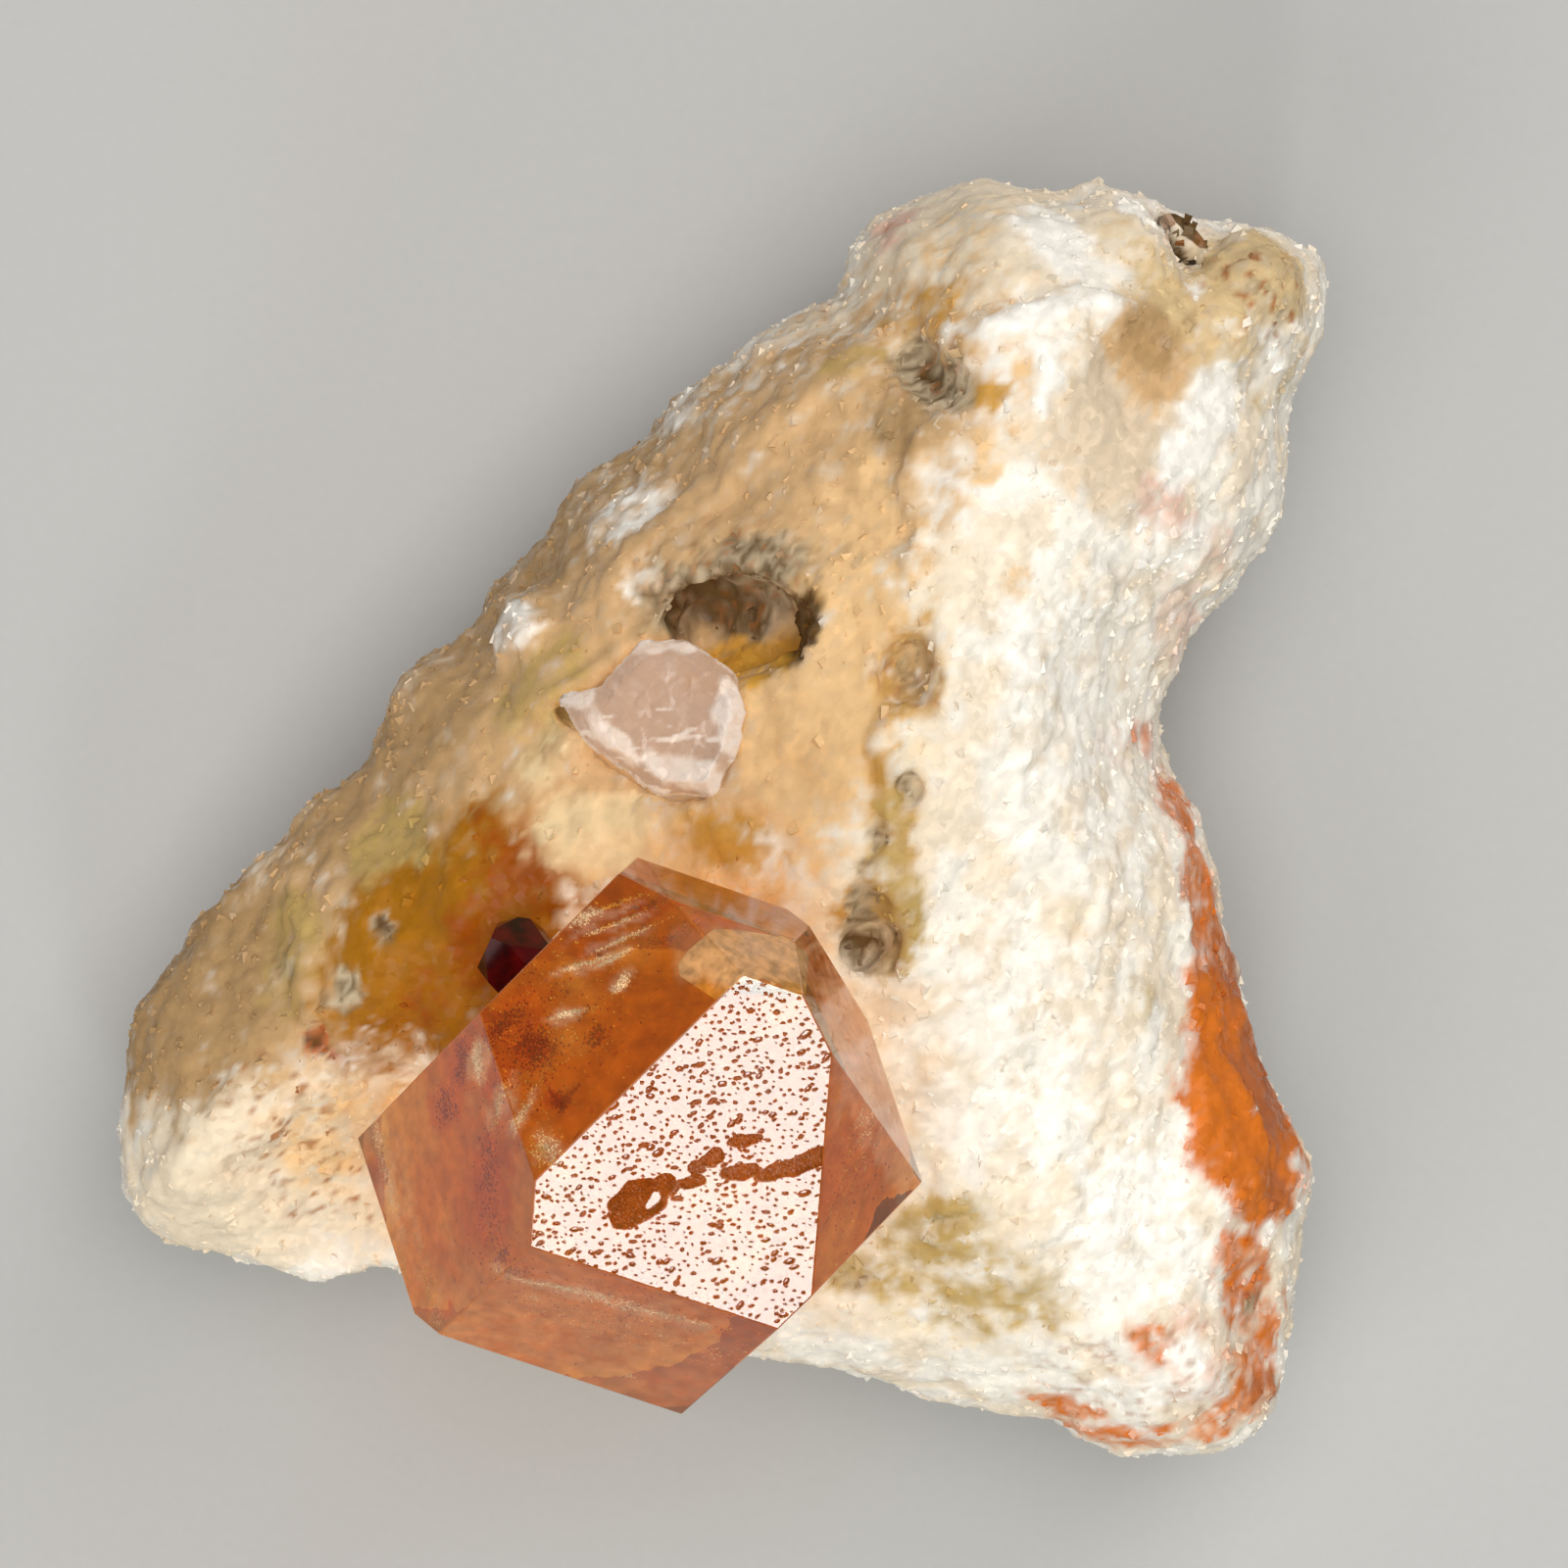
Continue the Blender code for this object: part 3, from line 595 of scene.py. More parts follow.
GRAIN_CELLS = (0.55, 13.0)
CELL_WARP = (0.5, 2.0)
CELL_WARP_REACH = 0.25
VEIN_NOISE = (0.8, 17.0)
VEIN_RANGE = (0.26, 0.03)
VEIN_STRENGTH = 0.9
SPECK_NOISE = (0.5, 5.0)
SPECK_RANGE = (0.26, 0.5)


def fine_noise(points, size, seed):
    """A rough wander between about -1 and 1, with detail down to an eighth of its size."""
    places = points / (size * MM) + seed
    return np.array([noise.fractal(Vector(place), 1.0, 2.0, OCTAVES) for place in places])


def cell_noise(points, size, seed):
    """One value between 0 and 1 for each cell of the given size."""
    places = points / (size * MM) + seed
    return np.array([noise.cell(Vector(place)) for place in places])


def share_between(values, low, high):
    """0 where the values are low, 1 where they are high, and soft between."""
    return eased(np.clip((values - low) / (high - low), 0.0, 1.0))


def mixed(below, color, share):
    """One colour for each point, laid over the colours below as strongly as its share."""
    return below + (np.array(color) - below) * share[:, None]


def stained_colors(points, places):
    """The colour of the lump at each of its points."""
    wander = fine_noise(points, *CREAM_NOISE)
    fine = fine_noise(points, *FINE_NOISE)
    bent = points + CELL_WARP_REACH * MM * warp_noise(points, *CELL_WARP)
    grain = cell_noise(bent, *GRAIN_CELLS) - 0.5
    colors = mixed(np.tile(MILKY, (len(points), 1)), CREAM, share_between(wander, *CREAM_RANGE))
    for name, color in STAIN_COLORS.items():
        mask = spot_mask(places, MATRIX_TREE, STAINS[name])
        broken = mask + (EDGE_BREAKUP * fine + GRAIN_BREAKUP * grain) * (mask > 0.0)
        colors = mixed(colors, color, share_between(broken, *STAIN_RANGE))
    dirty = spot_mask(places, MATRIX_TREE, STAINS["dirt"])
    veins = share_between(np.abs(fine_noise(points, *VEIN_NOISE)), *VEIN_RANGE)
    colors = mixed(colors, VEIN_COLOR, VEIN_STRENGTH * veins * dirty)
    region = spot_mask(places, MATRIX_TREE, STAINS["specks"])
    specks = share_between(fine_noise(points, *SPECK_NOISE), *SPECK_RANGE)
    colors = mixed(colors, SPECK_COLOR, region * specks)
    light = 1.0 + MOTTLE_SHARE * (grain + FINE_SHARE * fine)
    return np.clip(colors * light[:, None], 0.0, BRIGHTEST)


def store_colors(mesh, colors):
    attribute = mesh.attributes.new("stained", "FLOAT_COLOR", "POINT")
    values = np.column_stack([colors, np.ones(len(colors))])
    attribute.data.foreach_set("color", values.astype(np.float32).ravel())


print("stain colours, from the first laid on to the last:", list(STAIN_COLORS))

# %% [markdown]
# Where the quartz is clear enough to glow, it has also broken more smoothly, like glass. These
# spots say where. The broken grains and the loose ones fade out there.

# %% Smooth places
SMOOTH_SHARE = 0.8
SMOOTH_PLACES = {
    "smooth patch": (18.0, 19.0, 4.5, 4.5, -40, 0.9),
    "dome": (8.5, 28.5, 5.0, 3.4, 20, 0.9),
    "golden dome": (-18.0, -7.5, 6.0, 4.4, 45, 0.85),
    "rust band": (24.0, -16.5, 4.5, 2.8, -70, 0.8),
    "crotch": (1.0, 0.0, 6.0, 8.0, 0, 0.85),
    "lobe": (-28.5, -21.5, 5.0, 3.0, 0, 0.4),
    "green stone": (-11.0, 2.0, 6.0, 5.0, 30, 0.8),
    "wall by the orange stain": (-9.5, -2.0, 6.0, 4.0, 0, 0.8),
    "bar": (-6.0, 9.0, 13.0, 5.0, 43, 0.45),
    "white leg": (13.0, 4.0, 5.0, 10.0, 0, 0.45),
}
print("smooth places:", len(SMOOTH_PLACES))

# %% [markdown]
# Small forms are the pockets, lips, ledges and clefts that are too fine for the solid. Each is a
# spot whose last number is its height in mm, below zero for a hollow. They move the points of
# the mesh, because a pocket that is only painted looks flat from the side.

# %% Small forms
SMALL_FORMS = {
    "grey pocket": (7.4, 20.9, 2.4, 1.4, -60, -0.55),
    "upper pocket": (6.3, 5.7, 1.3, 2.5, 0, -0.35),
    "middle pocket": (6.3, -0.1, 0.6, 1.0, 0, -0.35),
    "small pocket": (4.7, -2.5, 0.5, 0.6, 0, -0.35),
    "smallest pocket": (4.3, -3.9, 0.4, 0.5, 0, -0.4),
    "three cornered pocket": (4.4, -7.4, 1.5, 2.0, 0, -0.4),
    "cavity": (-1.6, 8.6, 3.0, 2.2, 8, -0.9),
    "cavity left corner": (-4.6, 9.2, 2.2, 1.0, 15, -0.7),
    "cavity foot": (-0.2, 6.6, 1.6, 1.0, 30, -0.5),
    "cavity lip": (-1.6, 5.2, 3.4, 0.5, 18, 0.35),
    "cavity right lip": (2.0, 8.2, 0.5, 2.4, 0, 0.35),
    "second lump": (16.4, 28.2, 2.6, 1.4, -15, 0.45),
    "knob": (-13.5, 8.0, 1.5, 1.2, 30, 0.55),
    "dome rim": (-24.5, -8.8, 0.45, 4.6, 6, 0.4),
    "dome foot rim": (-23.3, -13.2, 1.7, 0.35, -50, -0.45),
    "step": (13.0, 20.8, 0.7, 2.0, 0, 0.4),
    "ledge": (14.0, 23.9, 4.0, 0.8, 12, 0.45),
    "cleft": (20.2, 27.4, 1.7, 0.4, -58, -1.1),
    "crust": (23.8, 25.6, 3.4, 3.0, 0, 0.2),
    "brown patch": (18.4, 20.6, 2.6, 2.0, -60, -0.4),
    "sharp edge": (6.9, 14.4, 5.0, 0.5, 84, 0.4),
    "lower sharp edge": (5.4, 1.4, 6.0, 0.5, 87, 0.35),
    "bar ridge": (-4.0, 15.0, 9.0, 0.8, 44, 0.35),
    "bar hollow": (-8.8, 6.0, 6.0, 1.2, 40, -0.35),
    "rust band edge": (22.4, -13.0, 7.0, 0.5, -68, 0.35),
    "rust band": (24.6, -16.0, 5.0, 1.8, -68, -0.35),
    "low smudge": (7.8, -22.7, 2.2, 0.5, 18, -0.35),
    "low left smudge": (3.6, -25.5, 2.4, 0.5, -12, -0.35),
    "low ridge": (14.0, -20.0, 6.0, 0.9, 70, 0.35),
    "white face ledge": (16.0, -8.0, 3.0, 0.6, 60, 0.35),
    "white face step": (13.0, 3.5, 4.5, 0.6, 75, 0.3),
    "upper white step": (17.0, 9.5, 3.0, 0.6, -35, 0.35),
    "lobe boundary": (-28.6, -17.0, 5.0, 0.7, 42, 0.35),
    "lobe hollow": (-25.6, -18.2, 3.2, 1.2, 40, -0.35),
}
print("small forms:", len(SMALL_FORMS), "the deepest", min(form[-1] for form in SMALL_FORMS.values()), "mm")

# %% [markdown]
# The relief of the lump is a sum. Soft lumps come first, then sharp ridges, which are the
# creases of a soft wander, then two sizes of broken grains. Dirt and crust crumble more.

# %% The lump's relief
SOFT_LUMPS = (0.20, 2.4, 3.0)       # height and size in mm, and a seed
RIDGES = (0.32, 1.4, 8.0)
RIDGES_DOWN = 0.08
BREAKS = ((0.11, 1.7, 41.0), (0.05, 0.8, 77.0))
CRUMBS = (0.2, 1.1, 91.0)


def lump_relief(points, places, broken):
    """How far in mm the lump's surface stands out at each of its points."""
    height, *lumps = SOFT_LUMPS
    relief = height * soft_noise(points, *lumps)
    height, *ridges = RIDGES
    relief += height * np.abs(soft_noise(points, *ridges))
    relief -= RIDGES_DOWN
    for height, *grains in BREAKS:
        relief += broken * height * grain_relief(points, *grains)
    dirty = spot_mask(places, MATRIX_TREE, STAINS["dirt"])
    crumbly = np.maximum(dirty, spot_mask(places, MATRIX_TREE, STAINS["straw"]))
    height, *crumbs = CRUMBS
    relief += crumbly * height * grain_relief(points, *crumbs)
    relief += form_heights(places, MATRIX_TREE, SMALL_FORMS)
    print("relief of the lump from", round(relief.min(), 2), "to", round(relief.max(), 2), "mm")
    return relief


# %% [markdown]
# The lump's mesh. A voxel remesh gives faces of one size all over, which relief needs. The
# socket that holds the crystal is a little wider than the crystal in the solid. Here its walls
# are pushed just into the crystal, because the real crystal has grown out of the rock.

# %% The lump's mesh
VOXEL = 0.36 * MM
SMOOTH_TIMES = 12
SMOOTH_FACTOR = 0.5
SOCKET_GAP = 0.3 * MM
SOCKET_BITE = 0.2 * MM
SOCKET_FADE = 0.5 * MM
BASE_LEVEL = 0.15 * MM
BASE_FADE = 0.6 * MM


def even_mesh(bm, name, voxel, smooth_times):
    """The shape with small faces of one size in place of its long triangles, and softened."""
    def add_even_mesh(holder):
        remesh = holder.modifiers.new("even mesh", "REMESH")
        remesh.mode = "VOXEL"
        remesh.voxel_size = voxel
        soften = holder.modifiers.new("soften", "SMOOTH")
        soften.factor = SMOOTH_FACTOR
        soften.iterations = smooth_times

    return with_modifiers(mesh_from(bm, name), add_even_mesh)


def closed_sockets(points, normals):
    """The points with the rock brought up to the crystals, so that no slit shows around them."""
    over = np.min([height_over(points, planes) for planes in SOCKET_PLANES], axis=0)
    near = np.clip(1.0 - (over - SOCKET_GAP) / SOCKET_FADE, 0.0, 1.0)
    return points + normals * (near * (SOCKET_GAP + SOCKET_BITE))[:, None]


def lump_mesh():
    mesh = even_mesh(merged_copy("matrix"), "broken quartz", VOXEL, SMOOTH_TIMES)
    points = read_points(mesh)
    normals = read_normals(mesh)
    is_base = points[:, 2] < BASE_LEVEL
    over_base = np.clip(points[:, 2] / BASE_FADE, 0.0, 1.0)
    places = bent_places(points)
    broken = 1.0 - SMOOTH_SHARE * spot_mask(places, MATRIX_TREE, SMOOTH_PLACES)
    relief = lump_relief(points, places, broken)
    points = closed_sockets(points, normals)
    points += normals * (relief * over_base)[:, None] * MM
    points[:, 2] = np.maximum(points[:, 2], 0.0)
    points[is_base, 2] = 0.0
    write_points(mesh, points)
    store_colors(mesh, stained_colors(points, places))
    store_mask(mesh, "broken", broken)
    return mesh


lump_shape = lump_mesh()
print("the lump has", len(lump_shape.vertices), "points, each with a colour of its own")

# %% [markdown]
# Helpers for materials. Each makes a node or two, sets its values and links it, so that a
# material below reads like a list of what the finish is made of.

# %% Node helpers
CLOUD_RANGE = (0.35, 0.65)


def new_material(name):
    material = bpy.data.materials.new(name)
    material.use_nodes = True
    tree = material.node_tree
    return material, tree.nodes, tree.links, tree.nodes["Principled BSDF"]


def add_node(nodes, kind, **values):
    """A new node. A value goes to the input of that name, or else to the node's own setting."""
    node = nodes.new(kind)
    settings = {name: value for name, value in values.items() if hasattr(node, name)}
    for name, value in settings.items():
        setattr(node, name, value)
    for name, value in values.items():
        if name not in settings:
            node.inputs[name.replace("_", " ").title()].default_value = value
    return node


def object_place(nodes):
    """Where on the object a point is, which stays the same when the object is moved."""
    return add_node(nodes, "ShaderNodeTexCoord").outputs["Object"]


def stored_color(nodes):
    """The colour that is stored on the points of the mesh."""
    return add_node(nodes, "ShaderNodeAttribute", attribute_name="stained").outputs["Color"]


def noise_lumps(nodes, links, size, detail):
    """Noise whose lumps are about size mm wide."""
    node = add_node(nodes, "ShaderNodeTexNoise", scale=1.0 / (size * MM), detail=detail)
    links.new(object_place(nodes), node.inputs["Vector"])
    return node.outputs["Fac"]


def ramp(nodes, links, value, low, high, first=0.0, last=1.0):
    """The value's range from low to high, stretched to run from first to last."""
    node = add_node(
        nodes, "ShaderNodeMapRange", from_min=low, from_max=high, to_min=first, to_max=last,
    )
    links.new(value, node.inputs["Value"])
    return node.outputs["Result"]


def product(nodes, links, one, other):
    node = add_node(nodes, "ShaderNodeMath", operation="MULTIPLY")
    links.new(one, node.inputs[0])
    links.new(other, node.inputs[1])
    return node.outputs[0]


def color_mix(nodes, links, below, over, factor, blend_type="MIX"):
    """Two colours mixed. Each part is a plain value, or the output of a node."""
    mix = add_node(nodes, "ShaderNodeMix", data_type="RGBA", blend_type=blend_type)
    for name, part in (("A", below), ("B", over), ("Factor", factor)):
        if isinstance(part, tuple):
            mix.inputs[name].default_value = (*part, 1.0)
        elif isinstance(part, float):
            mix.inputs[name].default_value = part
        else:
            links.new(part, mix.inputs[name])
    return mix.outputs["Result"]


def tinted(nodes, links, color, tint):
    return color_mix(nodes, links, color, tint, 1.0, "MULTIPLY")


def mottled(nodes, links, dark, light, size, detail):
    """A colour that goes back and forth between two, in lumps about size mm wide."""
    share = ramp(nodes, links, noise_lumps(nodes, links, size, detail), *CLOUD_RANGE)
    return color_mix(nodes, links, dark, light, share)


print("noise of a material is stretched from", CLOUD_RANGE, "to the whole range")

# %% [markdown]
# Broken quartz sparkles because it is made of small flat faces that each look another way. A
# Voronoi pattern gives the cells. The height over a cell is a plane with a random tilt and a
# random step, so that a bump made from it looks like one flat face for each cell. The massive
# quartz and the clear grain both use it, so it is a node group.

# %% The broken grains group
STEP_SHARE = 0.4


def broken_grains_group():
    tree = bpy.data.node_groups.new("broken grains", "ShaderNodeTree")
    tree.interface.new_socket("Place", in_out="INPUT", socket_type="NodeSocketVector")
    tree.interface.new_socket("Scale", in_out="INPUT", socket_type="NodeSocketFloat")
    for name in ("Height", "Tint", "Gloss"):
        tree.interface.new_socket(name, in_out="OUTPUT", socket_type="NodeSocketFloat")
    nodes, links = tree.nodes, tree.links
    given = nodes.new("NodeGroupInput")
    result = nodes.new("NodeGroupOutput")
    cells = nodes.new("ShaderNodeTexVoronoi")
    links.new(given.outputs["Place"], cells.inputs["Vector"])
    links.new(given.outputs["Scale"], cells.inputs["Scale"])
    random = nodes.new("ShaderNodeSeparateColor")
    links.new(cells.outputs["Color"], random.inputs["Color"])
    away = add_node(nodes, "ShaderNodeVectorMath", operation="SUBTRACT")
    links.new(given.outputs["Place"], away.inputs[0])
    links.new(cells.outputs["Position"], away.inputs[1])
    tilt = add_node(nodes, "ShaderNodeVectorMath", operation="SUBTRACT")
    links.new(cells.outputs["Color"], tilt.inputs[0])
    tilt.inputs[1].default_value = (0.5, 0.5, 0.5)
    slope = add_node(nodes, "ShaderNodeVectorMath", operation="DOT_PRODUCT")
    links.new(away.outputs["Vector"], slope.inputs[0])
    links.new(tilt.outputs["Vector"], slope.inputs[1])
    plane = product(nodes, links, slope.outputs["Value"], given.outputs["Scale"])
    step = add_node(nodes, "ShaderNodeMath", operation="MULTIPLY_ADD")
    links.new(random.outputs["Blue"], step.inputs[0])
    step.inputs[1].default_value = STEP_SHARE
    links.new(plane, step.inputs[2])
    links.new(step.outputs[0], result.inputs["Height"])
    links.new(random.outputs["Red"], result.inputs["Tint"])
    links.new(random.outputs["Green"], result.inputs["Gloss"])
    return tree


BROKEN_GRAINS = broken_grains_group()


def grains_node(nodes, links, size):
    node = nodes.new("ShaderNodeGroup")
    node.node_tree = BROKEN_GRAINS
    node.inputs["Scale"].default_value = 1.0 / (size * MM)
    links.new(object_place(nodes), node.inputs["Place"])
    return node


def bump_node(nodes, links, height, strength, distance):
    """A bump that is distance mm high at full strength."""
    node = add_node(nodes, "ShaderNodeBump", strength=strength, distance=distance * MM)
    links.new(height, node.inputs["Height"])
    return node.outputs["Normal"]


print("group", BROKEN_GRAINS.name, "of", len(BROKEN_GRAINS.nodes), "nodes")

# %% [markdown]
# Massive quartz takes its colour from the points of its mesh. A Voronoi pattern stands for the
# grains: each has a slightly different tint and gloss, and the glossy ones sparkle. Light that
# goes into the rock and comes out again would be truer, but it takes too long to render, so
# the stored colours stand for that glow.

# %% Massive quartz
GRAIN_SIZE = 0.42
GRAIN_TINTS = (0.93, 1.05)
GRAIN_ROUGHNESS = (0.2, 0.8)
GRAIN_BUMP = (0.32, 0.22)
STAINED_GLOSS = 0.15


def massive_quartz():
    material, nodes, links, shader = new_material("massive quartz")
    grains = grains_node(nodes, links, GRAIN_SIZE)
    tint = ramp(nodes, links, grains.outputs["Tint"], 0.0, 1.0, *GRAIN_TINTS)
    roughness = ramp(nodes, links, grains.outputs["Gloss"], 0.0, 1.0, *GRAIN_ROUGHNESS)
    bump = bump_node(nodes, links, grains.outputs["Height"], *GRAIN_BUMP)
    links.new(tinted(nodes, links, stored_color(nodes), tint), shader.inputs["Base Color"])
    links.new(roughness, shader.inputs["Roughness"])
    links.new(bump, shader.inputs["Normal"])
    shader.inputs["IOR"].default_value = QUARTZ_INDEX
    shader.inputs["Specular IOR Level"].default_value = STAINED_GLOSS
    return material


MASSIVE_QUARTZ = massive_quartz()
lump = add_piece(lump_shape, "broken_quartz", MASSIVE_QUARTZ, "matrix")
lump.data.shade_smooth()

# %% [markdown]
# Many small things, such as loose grains on the lump and flakes in the crystal, are one small
# shape repeated. Geometry nodes put a copy on each point, with its own turn and size, and make
# them one mesh. What is stored on a point, such as its stains, goes with its copy.

# %% Copies of a small shape on points
CORNER_SPREAD = 7.0


def small_shape(make, seed=0, jitter=0.0):
    """A small closed shape about 1 across, its corners moved about by the jitter."""
    bm = bmesh.new()
    make(bm)
    for vert in bm.verts:
        corner = Vector((vert.index, seed, 0.5))
        vert.co += noise.cell_vector(corner * CORNER_SPREAD) * jitter
    return mesh_from(bm, "small shape")


def copy_tree(shape_holder):
    tree = bpy.data.node_groups.new("copies on points", "GeometryNodeTree")
    tree.interface.new_socket("Points", in_out="INPUT", socket_type="NodeSocketGeometry")
    tree.interface.new_socket("Copies", in_out="OUTPUT", socket_type="NodeSocketGeometry")
    nodes, links = tree.nodes, tree.links
    points = nodes.new("NodeGroupInput")
    copies = nodes.new("NodeGroupOutput")
    shape = nodes.new("GeometryNodeObjectInfo")
    shape.inputs["Object"].default_value = shape_holder
    place = nodes.new("GeometryNodeInstanceOnPoints")
    for name, socket in (("turn", "Rotation"), ("size", "Scale")):
        stored = nodes.new("GeometryNodeInputNamedAttribute")
        stored.data_type = "FLOAT_VECTOR"
        stored.inputs["Name"].default_value = name
        links.new(stored.outputs["Attribute"], place.inputs[socket])
    join = nodes.new("GeometryNodeRealizeInstances")
    links.new(points.outputs[0], place.inputs["Points"])
    links.new(shape.outputs["Geometry"], place.inputs["Instance"])
    links.new(place.outputs["Instances"], join.inputs["Geometry"])
    links.new(join.outputs["Geometry"], copies.inputs[0])
    return tree


def store_vectors(mesh, name, vectors):
    attribute = mesh.attributes.new(name, "FLOAT_VECTOR", "POINT")
    attribute.data.foreach_set("vector", np.asarray(vectors, np.float32).ravel())


def copies_on(points, turns, sizes, shape, colors=None):
    """One mesh with a copy of the shape at each point, turned (radians) and sized (metres)."""
    bm = bmesh.new()
    for point in points:
        bm.verts.new(point)
    mesh = mesh_from(bm, "points")
    store_vectors(mesh, "turn", turns)
    store_vectors(mesh, "size", sizes)
    if colors is not None:
        store_colors(mesh, colors)
    shape_holder = bpy.data.objects.new("small shape", shape)
    tree = copy_tree(shape_holder)

    def add_copies(holder):
        holder.modifiers.new("copies", "NODES").node_group = tree

    finished = with_modifiers(mesh, add_copies)
    bpy.data.objects.remove(shape_holder)
    print(len(points), "copies of", len(shape.polygons), "faces each")
    return finished


# %% [markdown]
# Loose grains. The lump's own mesh can't be fine enough for every grain of the broken quartz,
# so thousands of angular grains are half sunk in it. They catch the light one by one and
# roughen the outline. They take the stains of the place where they sit, and are fewer where
# the break is smooth.

# %% Loose grains on the lump
GRAIN_COUNT = 12000
GRAIN_SEED = 11
GRAIN_SINK = 0.42
GRAIN_WIDTHS = (0.3, 0.65)
GRAIN_STRETCHES = (0.6, 1.2)
GRAIN_SHAPE_SEED = 3
GRAIN_JITTER = 0.22
CRYSTAL_CLEARANCE = 0.5 * MM
BASE_CLEARANCE = 1.0 * MM


def make_grain(bm):
    bmesh.ops.create_cube(bm, size=0.8)


def read_colors(mesh):
    values = np.empty(len(mesh.vertices) * 4, np.float32)
    mesh.attributes["stained"].data.foreach_get("color", values)
    return values.reshape(-1, 4)[:, :3].astype(float)


def grain_points(mesh, count, rng):
    """Points spread over the lump's broken parts, away from its base and from the crystal."""
    centres = np.empty(len(mesh.polygons) * 3, np.float32)
    mesh.polygons.foreach_get("center", centres)
    centres = centres.reshape(-1, 3).astype(float)
    sides = np.empty(len(mesh.polygons) * 3, np.float32)
    mesh.polygons.foreach_get("normal", sides)
    sides = sides.reshape(-1, 3)
    clear = height_over(centres, CRYSTAL_PLANES) > CRYSTAL_CLEARANCE
    fit = np.flatnonzero(clear & (centres[:, 2] > BASE_CLEARANCE))
    chosen = rng.choice(fit, count, replace=False)
    corners = np.array([mesh.polygons[int(index)].vertices[0] for index in chosen])
    broken = np.empty(len(mesh.vertices), np.float32)
    mesh.attributes["broken"].data.foreach_get("value", broken)
    kept = rng.random(count) < (broken[corners] - (1.0 - SMOOTH_SHARE)) / SMOOTH_SHARE
    return centres[chosen][kept], sides[chosen][kept], read_colors(mesh)[corners][kept]


def loose_grains(mesh):
    rng = np.random.default_rng(GRAIN_SEED)
    points, sides, colors = grain_points(mesh, GRAIN_COUNT, rng)
    size = rng.uniform(*GRAIN_WIDTHS, len(points)) * MM
    points = points - sides * (size * GRAIN_SINK)[:, None]
    sizes = size[:, None] * rng.uniform(*GRAIN_STRETCHES, (len(points), 3))
    turns = rng.uniform(0.0, math.tau, (len(points), 3))
    shape = small_shape(make_grain, GRAIN_SHAPE_SEED, GRAIN_JITTER)
    return copies_on(points, turns, sizes, shape, colors)


add_piece(loose_grains(lump.data), "loose_grains", MASSIVE_QUARTZ)

# %% [markdown]
# The crystal's skin. Its bright front face mirrors the light, and hundreds of small etch pits
# break the mirror. They are real hollows, because a bump alone would leave the face flat from
# the side: the face is cut into a fine grid and its points are pushed in. The other faces stay
# flat, but a coarser grid lets their points carry colours.

# %% Cutting a flat face into a grid
EDGE_MARGIN = 0.2
SNAP_SHARE = 0.02


def face_axes(normal):
    """Two directions in a flat face, square to each other. The first runs to the right."""
    right = (Vector((1.0, 0.0, 0.0)) - normal * normal.x).normalized()
    return right, normal.cross(right)


def cut_in_strips(bm, faces, way, pitch):
    """Cut flat faces by parallel planes. Each plane cuts only what lies beyond the last."""
    reaches = [vert.co.dot(way) for face in faces for vert in face.verts]
    first = math.ceil(min(reaches) / pitch + EDGE_MARGIN)
    last = math.floor(max(reaches) / pitch - EDGE_MARGIN)
    finished = []
    beyond = list(faces)
    for level in range(first, last + 1):
        parts = dict.fromkeys(part for face in beyond for part in (face, *face.edges, *face.verts))
        cut = bmesh.ops.bisect_plane(
            bm, geom=list(parts), plane_co=way * (level * pitch), plane_no=way, dist=pitch * SNAP_SHARE,
        )
        pieces = [part for part in cut["geom"] if isinstance(part, bmesh.types.BMFace)]
        beyond = [face for face in pieces if face.calc_center_median().dot(way) > level * pitch]
        finished += [face for face in pieces if face.calc_center_median().dot(way) <= level * pitch]
    return finished + beyond


def cut_in_grid(bm, face, pitch):
    right, ahead = face_axes(face.normal.copy())
    strips = cut_in_strips(bm, [face], right, pitch)
    return cut_in_strips(bm, strips, ahead, pitch)


print("faces of the crystal that need a grid:", len(hull.faces))

# %% [markdown]
# A pit is pushed in over an ellipse. Small ones are dimples drawn out one way, because what
# etched them ate along the crystal's lattice. The large ones have steep sides and a rough
# floor, and stand at their own places. One part is so smooth that it mirrors the light again.

